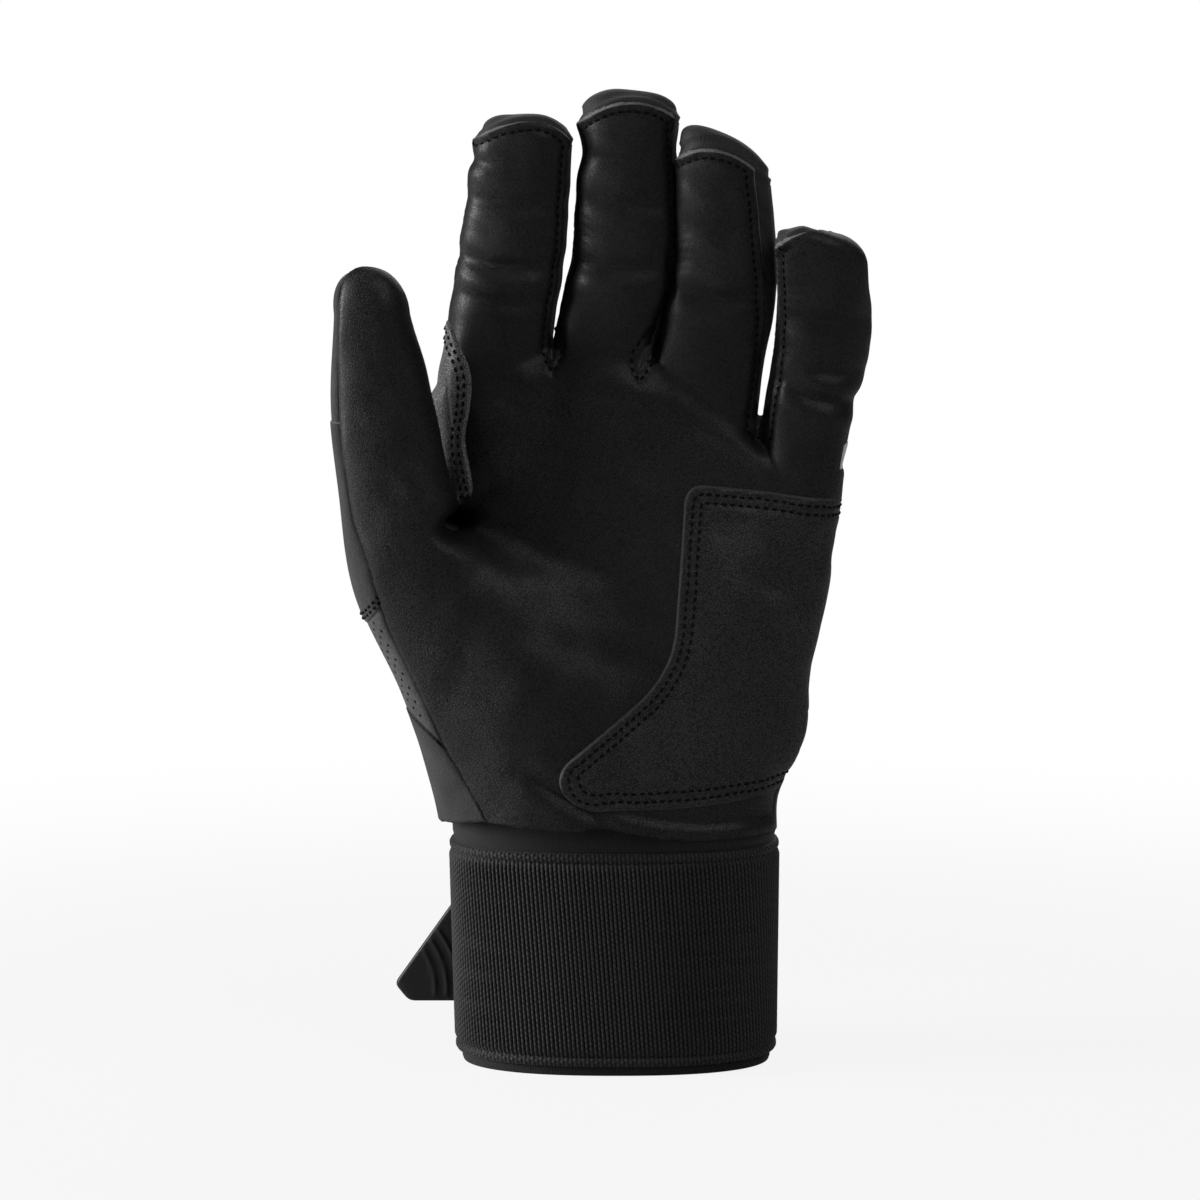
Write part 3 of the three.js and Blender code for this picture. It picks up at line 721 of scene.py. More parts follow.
# %% Stitch grooves and rolled edges
STITCH_ROW, ROW_GAP = 1.7, 2.1  # of a row of stitches from its edge, and between two rows
TWO_ROWS = (STITCH_ROW, STITCH_ROW + ROW_GAP)
GROOVE, HEEL_GROOVE = 0.5, 0.4
HEM_ROLL = 0.9  # of the palm's lower edge below the heel patch
WRIST_SWELL = 0.8  # of the back beside the seam at the wrist
SEAM_DIP = 0.55  # of the skin along the seam between leather and suede
move -= GROOVE * hill(stitch_line - STITCH_ROW, 0.8)
for row in TWO_ROWS:
    move -= HEEL_GROOVE * hill(fields["heel_outline"] - row, 0.7)
move += HEM_ROLL * hill(fields["hem"] - 2.4, 1.7) * smooth_step(-8, 6, x) * facing * (leather > 0)
move += WRIST_SWELL * wrist_turn(x, z) * smooth_step(0.2, -1.5, leather) * smooth_step(18, 4, y)
beside_thumb = smooth_step(-30, -36, x) * (arch_rise < -12) * (thumb_share > -8)
move -= SEAM_DIP * hill(leather, 0.8) * beside_thumb
print("grooves", GROOVE, "mm deep")

# %% [markdown]
# At a fingertip the back lies in small folds above the leather's arch, and the leather flares
# at the arch's ends. Fine wrinkles run over the thumb side of each finger near its crease, and
# the knuckle panel on the back is knitted in ribs.

# %% Fingertips, fine wrinkles and knuckle ribs
TIP_FOLDS = [(1.4, 0.45, 0.7), (2.7, -0.3, 0.6), (4, 0.3, 0.8)]  # rise above the arch, height, width
EDGE_FLARE = 0.8  # of the leather's edge at the sides of a fingertip
FINE_PITCH, FINE_DEPTH = 2.3, 0.13
CAP_WAIST, CAP_WAIST_HEIGHT = 1.0, 230.5  # of the middle finger, below its cap
KNUCKLE_SLOPE = 0.22
RIB_PITCH, RIB_DEPTH = 4.6, 0.35
for rise, height, width in TIP_FOLDS:
    move += height * hill(arch_rise - rise, width) * in_front
for n, finger in enumerate(FINGERS):
    mine = owner == n
    across = finger.across(x, z)
    at_side = smooth_step(0.45, 0.95, np.abs(across)) * smooth_step(-1.6, -0.4, leather) * mine * in_front
    move += EDGE_FLARE * at_side * hill(np.minimum(arch_rise, 0), 2.2) * (arch_rise < 1)
    side = smooth_step(0.35, -0.6, across) * facing * mine * (1 - on_thumb)
    bent = hill(z - FINGER_SIZES[finger.name]["heights"][1] - 4, 13)
    wave = np.sin(2 * np.pi * (z + 0.9 * np.sin(x / 2.7 + n) + 0.25 * x) / FINE_PITCH)
    move += FINE_DEPTH * side * bent * wave * (0.6 + 0.4 * np.sin(z / 3.1 + 2 * n))
    if finger.name == "middle":
        waist = hill(z - CAP_WAIST_HEIGHT, 4.5) * smooth_step(0.5, 0.95, np.abs(across))
        move -= CAP_WAIST * waist * mine
rib_height = z + KNUCKLE_SLOPE * x
on_knuckles = smooth_step(148, 153, rib_height) * smooth_step(188, 180, z) * (thumb_share < -2)
on_knuckles = on_knuckles * smooth_step(0.2, 0.6, normals[:, 1])
move += RIB_DEPTH * np.cos(2 * np.pi * rib_height / RIB_PITCH) * on_knuckles

points = points + normals * move[:, None]
normals = vertex_normals(points, faces)
print("folds move the skin by", round(float(move.min()), 2), "to", round(float(move.max()), 2), "mm")

# %% [markdown]
# ## Cutting and sewing
# A `Skin` is a stretch of surface with its seam distances. `part` cuts it at a zero line: each
# triangle that the line crosses is split exactly there. `contour` walks a line at some
# distance from a seam, which is where a row of stitches goes.


# %% A skin that can be cut
def read_between(rows, p, q, share):
    """Rows read part of the way from those numbered p to those numbered q."""
    return rows[p] + (rows[q] - rows[p]) * (share[:, None] if rows.ndim > 1 else share)


class Skin:
    """Triangles with a normal and the distances from the seams at every vertex."""

    def __init__(self, points, normals, faces, fields):
        used, faces = np.unique(faces, return_inverse=True)
        self.points, self.normals, self.faces = points[used], normals[used], faces.reshape(-1, 3)
        self.fields = {name: field[used] for name, field in fields.items()}

    def between(self, level):
        """Where the triangles' edges cross zero: their ends, the share along, and each triangle's edges."""
        inside = level >= 0
        count = inside[self.faces].sum(1)
        cut = self.faces[(count == 1) | (count == 2)]
        odd_in = inside[cut].sum(1) == 1
        odd = np.argmax(inside[cut] == odd_in[:, None], axis=1)
        a, b, c = (cut[np.arange(len(cut)), (odd + n) % 3] for n in range(3))
        pairs = np.sort(np.stack([a, b, a, c], 1).reshape(-1, 2), axis=1)
        ends, which = np.unique(pairs, axis=0, return_inverse=True)
        p, q = ends.T
        return p, q, level[p] / (level[p] - level[q]), which.reshape(-1, 2), (a, b, c, odd_in)

    def grown(self, p, q, share, faces, seam=None):
        """The skin with new vertices part of the way from p to q, all on a seam or not, and new faces."""

        def more(rows):
            return np.concatenate([rows, read_between(rows, p, q, share)])

        fields = {name: more(field) for name, field in self.fields.items()}
        if seam:
            fields[seam][len(self.points) :] = 0
        return Skin(more(self.points), unit(more(self.normals)), faces, fields)

    def part(self, name, side=1):
        """The stretch on one side of a seam, with its border exactly on the seam."""
        level = side * self.fields[name]
        level = np.where(np.abs(level) < OFF_CENTRE, OFF_CENTRE, level)
        *crossing, which, (a, b, c, odd_in) = self.between(level)
        ab, ac = (len(self.points) + which).T
        out = ~odd_in
        whole = self.faces[(level >= 0)[self.faces].all(1)]
        tips = np.stack([a, ab, ac], 1)[odd_in]
        rests = [np.stack([ab, b, c], 1)[out], np.stack([ab, c, ac], 1)[out]]
        return self.grown(*crossing, np.concatenate([whole, tips, *rests]), name)

    def finer(self):
        """The same skin with every triangle split into four."""
        edges = np.sort(self.faces[:, [[0, 1], [1, 2], [2, 0]]].reshape(-1, 2), axis=1)
        ends, which = np.unique(edges, axis=0, return_inverse=True)
        a, b, c = self.faces.T
        ab, bc, ca = (len(self.points) + which.reshape(-1, 3)).T
        corners = [(a, ab, ca), (ab, b, bc), (ca, bc, c), (ab, bc, ca)]
        faces = np.concatenate([np.stack(corner, 1) for corner in corners])
        return self.grown(*ends.T, np.full(len(ends), 0.5), faces)

    def contour(self, name, distance):
        """Chains of points and normals along the line at that distance from a seam."""
        p, q, share, which, _ = self.between(self.fields[name] - distance)
        at, up = (read_between(rows, p, q, share) for rows in (self.points, self.normals))
        links = {}
        for a, b in which.tolist():
            links.setdefault(a, []).append(b)
            links.setdefault(b, []).append(a)
        chains = []
        while links:
            start = next((n for n, ends in links.items() if len(ends) == 1), next(iter(links)))
            chain = [start]
            while links.get(chain[-1]):
                here = chain[-1]
                ahead = links[here].pop()
                links[ahead].remove(here)
                if not links[here]:
                    del links[here]
                chain.append(ahead)
            if not links.get(chain[-1]):
                links.pop(chain[-1], None)
            if len(chain) > 3:
                chains.append((at[chain], up[chain]))
        return chains

    def border(self):
        """Border edges in the order of their triangles."""
        edges = self.faces[:, [[0, 1], [1, 2], [2, 0]]].reshape(-1, 2)
        keys = np.sort(edges, axis=1)
        _, first, count = np.unique(keys, axis=0, return_index=True, return_counts=True)
        return edges[first[count == 1]]


glove = Skin(points, normals, faces, fields).part("hem")
print("glove above its hem:", len(glove.faces), "triangles")

# %% [markdown]
# A stitch is a short arched thread that dives into the leather at both ends. One is modelled
# as a tube with closed ends, and copies are set along a contour at an even pitch.

# %% Stitches
STITCH_PITCH, STITCH_LENGTH, STITCH_WIDTH = 2.15, 1.5, 0.72
STITCH_ARCH, STITCH_FLATNESS = 0.2, 0.7
STITCH_RINGS, STITCH_SIDES = 5, 6


def stitch_form():
    """Points and quads of one stitch, along x with z up."""
    rings = []
    for t in np.linspace(-1, 1, STITCH_RINGS):
        radius = STITCH_WIDTH / 2 * math.sqrt(1 - 0.75 * t * t)
        lift = STITCH_ARCH * (1 - 1.9 * t * t)
        for angle in np.arange(STITCH_SIDES) * 2 * np.pi / STITCH_SIDES:
            wide, high = radius * math.cos(angle), STITCH_FLATNESS * radius * math.sin(angle)
            rings.append((t * STITCH_LENGTH / 2, wide, lift + high))
    sides = []
    for ring in range(STITCH_RINGS - 1):
        for n in range(STITCH_SIDES):
            a, b = ring * STITCH_SIDES + n, ring * STITCH_SIDES + (n + 1) % STITCH_SIDES
            sides.append((a, a + STITCH_SIDES, b + STITCH_SIDES, b))
    last = (STITCH_RINGS - 1) * STITCH_SIDES
    ends = [list(range(STITCH_SIDES)), [last + n for n in range(STITCH_SIDES)][::-1]]
    return np.array(rings), np.array(sides)[:, ::-1], np.array(ends)[:, ::-1]


def even_places(at, up, pitch):
    """Points, tangents and normals at an even pitch along a chain."""
    along = np.concatenate([[0], np.cumsum(np.linalg.norm(np.diff(at, axis=0), axis=1))])
    count = int(along[-1] / pitch)
    if count < 1:
        return [np.zeros((0, 3))] * 3
    centres = (np.arange(count) + 0.5) * along[-1] / count

    def read(rows, s):
        return np.stack([np.interp(s, along, row) for row in rows.T], 1)

    tangent = unit(read(at, centres + 0.5) - read(at, centres - 0.5))
    normal = read(up, centres)
    normal -= (normal * tangent).sum(1)[:, None] * tangent
    return read(at, centres), tangent, unit(normal)


def stitches_on(skin, rows):
    """Points and faces of every stitch along rows of (seam, distance)."""
    form, sides, ends = stitch_form()
    points, side_faces, end_faces = [], [], []
    for name, distance in rows:
        for at, up in skin.contour(name, distance):
            for centre, tangent, normal in zip(*even_places(at, up, STITCH_PITCH)):
                base = len(points) * len(form)
                axes = np.stack([tangent, np.cross(normal, tangent), normal])
                points.append(centre + form @ axes)
                side_faces.append(sides + base)
                end_faces.append(ends + base)
    if not points:
        return np.zeros((0, 3)), [], []
    return np.concatenate(points), np.concatenate(side_faces), np.concatenate(end_faces)


print("a stitch has", len(stitch_form()[0]), "points")

# %% [markdown]
# ## Finishes
# Every finish is a node tree. Writing it node by node is long, so one small class stands for
# a socket and lets sums be written as Python: `1 - mask` adds a Math node. Every other node
# comes from one method. Patterns read the Object coordinates, so that they need no UV map
# and have the same size on every piece.


# %% Sockets with arithmetic
class Wire:
    def __init__(self, finish, socket):
        self.finish, self.socket = finish, socket

    def maths(self, operation, first, second):
        return self.finish.node("Math", {"operation": operation}, {0: first, 1: second})

    def __add__(self, other):
        return self.maths("ADD", self, other)

    def __sub__(self, other):
        return self.maths("SUBTRACT", self, other)

    def __rsub__(self, other):
        return self.maths("SUBTRACT", other, self)

    def __mul__(self, other):
        return self.maths("MULTIPLY", self, other)

    __radd__, __rmul__ = __add__, __mul__


class Finish:
    """The node tree of a material, or of a world: nodes are added as they are asked for."""

    def __init__(self, name, library=bpy.data.materials):
        self.owner = library.new(name)
        self.owner.use_nodes = True
        self.tree = self.owner.node_tree
        self.tree.nodes.clear()

    def node(self, kind, settings=None, sockets=None, out=0):
        """A new node, with its settings made before its sockets are filled or linked."""
        made = self.tree.nodes.new("ShaderNode" + kind)
        for key, value in (settings or {}).items():
            setattr(made, key, value)
        for key, value in (sockets or {}).items():
            socket = made.inputs[key]
            if isinstance(value, Wire):
                self.tree.links.new(value.socket, socket)
            else:
                socket.default_value = value
        return Wire(self, made.outputs[out]) if made.outputs else None

    def place(self):
        return self.node("TexCoord", out="Object")

    def noise(self, scale, detail=3.0, vector=None):
        sockets = {"Vector": vector or self.place(), "Scale": scale, "Detail": detail}
        return self.node("TexNoise", {}, sockets)

    def ramp(self, value, low, high, start=0.0, end=1.0):
        """A smooth climb from start to end while the value goes from low to high."""
        limits = {"Value": value, "From Min": low, "From Max": high, "To Min": start, "To Max": end}
        return self.node("MapRange", {"interpolation_type": "SMOOTHSTEP"}, limits)

    def parts(self, vector):
        """The three numbers of a vector."""
        first = self.node("SeparateXYZ", {}, {0: vector})
        return [Wire(self, socket) for socket in first.socket.node.outputs]

    def mark(self, name):
        """A number kept on the mesh."""
        return self.node("Attribute", {"attribute_name": name}, out="Fac")

    def sine(self, value):
        return self.node("Math", {"operation": "SINE"}, {0: value})

    def blend(self, share, first, second):
        """A colour between two, by share."""
        ends = (colour if isinstance(colour, Wire) else (*colour, 1) for colour in (first, second))
        colours = dict(zip((0, 6, 7), (share, *ends)))
        return self.node("Mix", {"data_type": "RGBA"}, colours, out=2)

    def painted_seam_shade(self, colour):
        """A colour darkened into the turned seams by painted shade, read from the distance kept on the
        mesh.
        """
        return self.blend(self.ramp(self.mark("seam_distance"), *PAINTED_SHADE_SPAN), grey(PAINTED_SHADE_TONE), colour)

    def bump(self, height, millimetres, strength=1.0):
        sockets = {"Height": height, "Distance": millimetres / METRE, "Strength": strength}
        return self.node("Bump", {}, sockets)

    def surface(self, sockets):
        """Ends the tree in a Principled shader, and gives the material."""
        shader = self.node("BsdfPrincipled", {}, sockets)
        self.node("OutputMaterial", {}, {"Surface": shader})
        return self.owner


COOLNESS = 1.02  # every dark on the glove is a little blue


def grey(level):
    return (level, level, level * COOLNESS)


PAINTED_SHADE_SPAN, PAINTED_SHADE_TONE = (0.28, 0.95), 0.0006  # painted shade in a turned seam, from dark to plain, in millimetres from it
print("Wire and Finish ready")

# %% [markdown]
# The palm is thin, soft leather. Its grain is a network of fine creases round little islands:
# a Voronoi texture's distance to its cell edges, shaken by noise so that no cell is regular.
# The islands shine and the creases between them don't, so the grain also sets the coat.


# %% Leather and its raw edge
GRAIN_SCALE = 1550.0  # cells of grain in a metre


def leather_finish(name, tone, gloss, grain_depth, stretch):
    """Grained leather; stretch above 1 draws the grain out sideways, as it is round a finger."""
    f = Finish(name)
    drawn = f.node("VectorMath", {"operation": "MULTIPLY"}, {0: f.place(), 1: (1, 1, stretch)})
    shake = f.node("TexNoise", {}, {"Vector": drawn, "Scale": 1100.0}, out="Color")
    shaken = f.node("VectorMath", {"operation": "MULTIPLY_ADD"}, {0: shake, 1: (0.0007,) * 3, 2: drawn})
    cells = f.node("TexVoronoi", {"feature": "DISTANCE_TO_EDGE"}, {"Vector": shaken, "Scale": GRAIN_SCALE})
    islands = f.ramp(cells, 0.02, 0.26)
    pores = f.noise(3600.0, 2.0)
    rub = f.ramp(f.noise(38.0, 4.0), 0.35, 0.75)
    height = islands * 0.8 + pores * 0.3 + f.noise(210.0, 4.0, drawn) * 0.4
    colour = f.blend(islands * 0.85 + rub * 0.15, grey(tone * 0.25), grey(tone * 1.45))
    sockets = {
        # painted shade: the colour falls near black into the turned seams
        "Base Color": f.painted_seam_shade(colour),
        "Roughness": 0.5 + 0.12 * pores - 0.06 * rub,
        "Normal": f.bump(height, grain_depth, 0.9),
        "Specular IOR Level": 0.22,
        "Coat Weight": gloss * (0.15 + islands * (0.6 + 0.25 * rub)),
        "Coat Roughness": 0.4,
        "Coat IOR": 1.45,
    }
    return f.surface(sockets)


def raw_edge_finish(name, tone):
    """Loose fibres where leather was cut."""
    f = Finish(name)
    fibres = f.noise(2600.0, 4.0)
    colour = f.blend(f.ramp(fibres, 0.3, 0.7), grey(tone * 0.55), grey(tone * 1.3))
    return f.surface({"Base Color": colour, "Roughness": 0.92, "Normal": f.bump(fibres, 0.15)})


def thread_finish(name, tone):
    """Twisted thread, or the like of it in plastic."""
    f = Finish(name)
    twist = f.noise(5200.0, 1.0)
    colour = f.blend(twist, grey(tone * 0.6), grey(tone * 1.5))
    sockets = {"Base Color": colour, "Roughness": 0.8, "Normal": f.bump(twist, 0.06)}
    return f.surface({**sockets, "Specular IOR Level": 0.15})


palm_leather = leather_finish("palm_leather", 0.0075, 0.7, 0.125, 1.2)
finger_leather = leather_finish("finger_leather", 0.006, 0.72, 0.125, 1.8)
# painted light: the strip's tone is far lighter than the other leathers', standing in for the highlight it
# takes from the thumb's side
strip_leather = leather_finish("strip_leather", 0.14, 0.9, 0.11, 1.3)
heel_leather = leather_finish("heel_leather", 0.021, 1.0, 0.125, 1.1)
raw_edge = raw_edge_finish("raw_leather_edge", 0.13)
heel_edge = raw_edge_finish("heel_leather_edge", 0.05)
thread = thread_finish("black_thread", 0.0016)
print("leather finishes made")

# %% [markdown]
# The cloths differ in what repeats: a knit has rows of small loops, and suede a short random
# nap. Loops on a curved piece are laid out along height and along the diagonal of x and y.

# %% Cloth and suede
DIAGONAL = math.sqrt(0.5)


def knit_finish(name, tone, pitch, roughness=0.78, sheen=0.12):
    """Stretch cloth with loops at a pitch in millimetres."""
    f = Finish(name)
    x, y, z = f.parts(f.place())
    along = (x - y) * (DIAGONAL * 2 * math.pi * METRE / pitch)
    up = f.sine(z * (2 * math.pi * METRE / (0.8 * pitch)))
    fuzz = f.noise(1800.0, 3.0)
    height = f.sine(along + 0.6 * up) * 0.25 + up * 0.175 + fuzz
    colour = f.blend(f.ramp(height, -0.4, 1.4), grey(tone * 0.55), grey(tone * 1.4))
    sockets = {"Base Color": colour, "Roughness": roughness + 0.12 * fuzz}
    sockets["Normal"] = f.bump(height, 0.12, 0.7)
    return f.surface({**sockets, "Sheen Weight": sheen, "Specular IOR Level": 0.25})


def suede_finish(name, tone, with_painted_shade=False, brushing=0.5):
    """Short nap in brushed patches, with painted shade darkening it into its turned seams where asked."""
    f = Finish(name)
    nap = f.noise(1700.0, 5.0)
    brushed = f.noise(130.0, 4.0)
    light = f.ramp(nap * 0.6 + brushed * brushing, 0.3, 0.8)
    colour = f.blend(light, grey(tone * 0.5), grey(tone * 1.5))
    colour = f.painted_seam_shade(colour) if with_painted_shade else colour
    sockets = {"Base Color": colour, "Roughness": 0.9, "Normal": f.bump(nap, 0.24, 0.8)}
    return f.surface({**sockets, "Sheen Weight": 0.2, "Specular IOR Level": 0.2})


back_cloth = knit_finish("back_stretch_cloth", 0.016, 1.1)
knuckle_cloth = knit_finish("knuckle_stretch_cloth", 0.013, 0.9)
finger_back_cloth = knit_finish("finger_back_cloth", 0.022, 0.7, 0.6)
gusset_cloth = knit_finish("gusset_cloth", 0.02, 0.8)
lining = knit_finish("soft_lining", 0.03, 0.9)
charcoal_suede = suede_finish("charcoal_suede", 0.028, True)
perforated_suede = suede_finish("perforated_suede", 0.062, True, 0.4)
print("cloth finishes made")

# %% [markdown]
# ## From a skin to a piece of leather
# A cut piece has a thickness and a raw edge. The inner side is the skin moved inwards, and a
# wall joins the two along the border. On a raw edge the wall leans out, so that a pale
# line of cut leather shows from the front, as it does on the real seams. Normals are handed over from
# the whole skin, so the shading runs on smoothly from one piece to the next.


# %% Make a mesh object
def add_object(name, points, patches, finishes, sharp_angle=None, marks=None):
    """An object from points in millimetres and patches of (faces, finish number, corner normals)."""
    patches = [patch for patch in patches if len(patch[0])]
    mesh = bpy.data.meshes.new(name)
    corners = np.concatenate([np.asarray(faces).ravel() for faces, _, _ in patches])
    sizes = np.concatenate([np.full(len(faces), np.shape(faces)[1]) for faces, _, _ in patches])
    numbers = np.concatenate([np.full(len(faces), number) for faces, number, _ in patches])
    mesh.vertices.add(len(points))
    mesh.vertices.foreach_set("co", (np.asarray(points) / METRE).astype(np.float32).ravel())
    mesh.loops.add(len(corners))
    mesh.loops.foreach_set("vertex_index", corners.astype(np.int32))
    mesh.polygons.add(len(sizes))
    mesh.polygons.foreach_set("loop_start", np.concatenate([[0], np.cumsum(sizes)[:-1]]).astype(np.int32))
    mesh.polygons.foreach_set("material_index", numbers.astype(np.int32))
    mesh.polygons.foreach_set("use_smooth", np.ones(len(sizes), bool))
    for finish in finishes:
        mesh.materials.append(finish)
    mesh.update(calc_edges=True)
    if sharp_angle:
        mesh.set_sharp_from_angle(angle=math.radians(sharp_angle))
    elif all(normals is not None for _, _, normals in patches):
        mesh.normals_split_custom_set(np.concatenate([np.reshape(n, (-1, 3)) for _, _, n in patches]))
    for mark, numbers in (marks or {}).items():
        kept = mesh.attributes.new(mark, "FLOAT", "POINT")
        kept.data.foreach_set("value", numbers.astype(np.float32).ravel())
    made = bpy.data.objects.new(name, mesh)
    bpy.context.scene.collection.objects.link(made)
    return made


LEATHER_LIFT, CLOTH_LIFT, LEATHER_THICKNESS, CLOTH_THICKNESS = 0.45, -0.3, 1.0, 0.8
RAW_LEAN, EDGE_DROP = 0.75, 0.12
TURN_DROP = 0.95  # of a seam sewn inside out, whose edges turn in
ON_SEAM, NO_SEAM = 1e-3, 9.0  # distances that count as on a seam, and as none near


def thread_patches(points, sides, ends, first):
    """Faces of stitches whose points are numbered from first, with normals that make them round."""
    if not len(points):
        return []
    rings = points.reshape(-1, STITCH_RINGS, STITCH_SIDES, 3)
    normals = unit(rings - rings.mean(2, keepdims=True)).reshape(-1, 3)
    return [(faces + first, 3, normals[faces]) for faces in (sides, ends)]


def sew(
    name,
    skin,
    finish,
    lift,
    thickness=CLOTH_THICKNESS,
    raw=(),
    rows=(),
    turned=(),
    edge=None,
    lean=RAW_LEAN,
):
    """A piece with a thickness from a skin: raw and turned name its seams with cut and turned-in edges."""
    n = len(skin.points)
    edges = skin.border()
    a, b = edges.T
    run = unit(skin.points[b] - skin.points[a])
    outward = np.zeros((n, 3))
    for end in (a, b):
        np.add.at(outward, end, np.cross(run, skin.normals[end]))
    outward = unit(outward)
    on_border = np.zeros(n, bool)
    on_border[edges.ravel()] = True

    def from_seams(names):
        return np.min([np.full(n, NO_SEAM), *(np.abs(skin.fields[seam]) for seam in names)], axis=0)

    seam_distance = from_seams(turned)
    is_raw = on_border & (from_seams(raw) < ON_SEAM)
    is_turned = on_border & (seam_distance < ON_SEAM)
    drop = EDGE_DROP * is_raw + TURN_DROP * is_turned
    outer = skin.points + skin.normals * (lift - drop)[:, None]
    depth = lift - thickness - 0.6 * TURN_DROP * is_turned
    inner = skin.points + skin.normals * depth[:, None] + outward * (lean * is_raw)[:, None]
    soft = unit(skin.normals + outward * (0.6 * is_raw + 1.1 * is_turned)[:, None])
    wall_normal = unit(outward + skin.normals * (0.5 * is_raw)[:, None])
    walls = np.stack([b, a, a + n, b + n], 1)
    bare = is_raw[a] & is_raw[b]
    inside = skin.faces[:, ::-1]
    threads, sides, ends = stitches_on(Skin(outer, skin.normals, skin.faces, skin.fields), rows)
    patches = [
        (skin.faces, 0, soft[skin.faces]),
        (walls[~bare], 0, wall_normal[walls[~bare] % n]),
        (walls[bare], 1, wall_normal[walls[bare] % n]),
        (inside + n, 2, -skin.normals[inside]),
        *thread_patches(threads, sides, ends, 2 * n),
    ]
    points = np.concatenate([outer, inner, threads])
    on_threads = np.full(len(threads), NO_SEAM)
    # the distance from the turned seams, by which the finishes paint shade into them
    marks = {"seam_distance": np.concatenate([seam_distance, seam_distance, on_threads])}
    return add_object(name, points, patches, [finish, edge or raw_edge, lining, thread], marks=marks)


print("leather", LEATHER_THICKNESS, "mm thick")

# %% [markdown]
# ## The palm and the back of the hand
# The hand is what stays still: everything below the fingers' and the thumb's own pieces. The
# palm leather runs to the thumb line and the side seam. The panels left of that line
# are suede above, perforated in the middle and suede again at the wrist.

# %% Cut the hand from the digits
SIDE_PANEL_FOOT, PERFORATED_FOOT = 114.5, 91.4
KNUCKLE_EDGE = 150.4  # of the knuckle panel, where x is 0
x, y, z = glove.points.T
glove.fields["side_foot"] = z - SIDE_PANEL_FOOT - 1.3 * np.clip(x + 58, -8, 5)
fall = 0.85 * (x + 48.3) * smooth_step(-6, -12, y)  # of the seam, towards the front
glove.fields["perforated_foot"] = z - PERFORATED_FOOT + fall
glove.fields["knuckle_edge"] = z + KNUCKLE_SLOPE * x - KNUCKLE_EDGE

thumb_skin, rest = glove.part("thumb"), glove.part("thumb", -1)
hand, digits = rest.part("zone", -1), rest.part("zone")
behind = hand.part("leather", -1)
thumb_side, hand_back = behind.part("thumb_panel", -1), behind.part("thumb_panel")
lower_side = thumb_side.part("side_foot", -1)
print("hand:", len(hand.faces), "triangles, digits:", len(digits.faces))

# %% [markdown]
# The holes of the perforated panel are real, as a mesh has to show them from any side. The
# panel's triangles are first split finely enough for round edges. Then the distance from the
# nearest hole's rim is one more number on the vertices, and the panel is cut at its zero line.

# %% Punch the perforated panel
HOLE_PITCH, HOLE_RADIUS, HOLE_MARGIN = 3.6, 0.43, 1.3  # the margin is kept off the seams
PANEL_RADIUS = 19  # of the thumb at the perforated panel
PANEL_SEAMS = ("leather", "thumb_panel", "side_foot", "perforated_foot")


def punch(skin):
    """The skin with round holes in rows that stand out of step."""
    skin = skin.finer().finer()
    x, y, z = skin.points.T
    round_thumb = np.radians(THUMB.turn(x, y, z)) * PANEL_RADIUS
    at = np.stack([round_thumb, z], 1) / HOLE_PITCH
    rows = [np.round(at - shift) + shift for shift in (0.25, 0.75)]
    away = [np.linalg.norm(at - centre, axis=1) * HOLE_PITCH for centre in rows]
    first = away[0] < away[1]
    centre, distance = np.where(first[:, None], *rows), np.where(first, *away)
    hole = np.unique(centre, axis=0, return_inverse=True)[1].ravel()
    from_seam = np.min([np.abs(skin.fields[seam]) for seam in PANEL_SEAMS], axis=0)
    nearest = np.full(hole.max() + 1, FAR)
    np.minimum.at(nearest, hole, np.where(distance < HOLE_RADIUS, from_seam, FAR))
    skin.fields["holes"] = np.where(nearest[hole] > HOLE_MARGIN, distance - HOLE_RADIUS, 1.0)
    return skin.part("holes")


perforated = punch(lower_side.part("perforated_foot"))
print("perforated panel:", len(perforated.faces), "triangles")

# %% [markdown]
# Each piece rides on the body that its CAD solid belongs to, and takes that solid's place. The
# hand doesn't bend, so its panels ride on it whole.


# %% Sew the panels of the hand
def fasten(piece, node, body="hand"):
    """Lets a piece ride on a body in place of a CAD solid."""
    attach(piece, body)
    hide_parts(node)


SUEDE_LIFT, WRIST_LIFT, KNUCKLE_LIFT = 0.1, -0.05, -0.1
foot_rows = [("side_foot", d) for d in (1.4, 3.2)]
back_rows = [("knuckle_edge", -1.6)]
sheet = dict(lift=LEATHER_LIFT, thickness=LEATHER_THICKNESS)
closed = dict(turned=["leather"])
both_ends = ["leather", "perforated_foot"]

palm = sew("palm", hand.part("leather"), palm_leather, **sheet, turned=["leather", "hem"])
fasten(palm, "palm_panel")
lower_back, upper_back = hand_back.part("knuckle_edge", -1), hand_back.part("knuckle_edge")
piece = sew("hand_back", lower_back, back_cloth, CLOTH_LIFT, rows=back_rows)
fasten(piece, "back_panel")
piece = sew("knuckle_ribs", upper_back, knuckle_cloth, KNUCKLE_LIFT, raw=["knuckle_edge"])
fasten(piece, "knuckle_flex_panel")
upper_side = thumb_side.part("side_foot")
foot_edge = dict(raw=["side_foot"], rows=foot_rows)
piece = sew("thumb_side", upper_side, charcoal_suede, SUEDE_LIFT, **foot_edge, **closed)
fasten(piece, "thumb_side_panel")
piece = sew("perforated_side", perforated, perforated_suede, CLOTH_LIFT, turned=both_ends)
fasten(piece, "perforated_panel")
wrist_side = lower_side.part("perforated_foot", -1)
piece = sew("wrist_side", wrist_side, charcoal_suede, WRIST_LIFT, turned=[*both_ends, "hem"])
fasten(piece, "wrist_side_panel")
print("palm:", len(palm.data.polygons), "faces")

# %% [markdown]
# ## Leather on leather
# The heel patch takes the wear of the bat's knob, so it is a second layer sewn down with two
# rows of stitches. The strip on the index finger's side has a waved hem with two rows too.

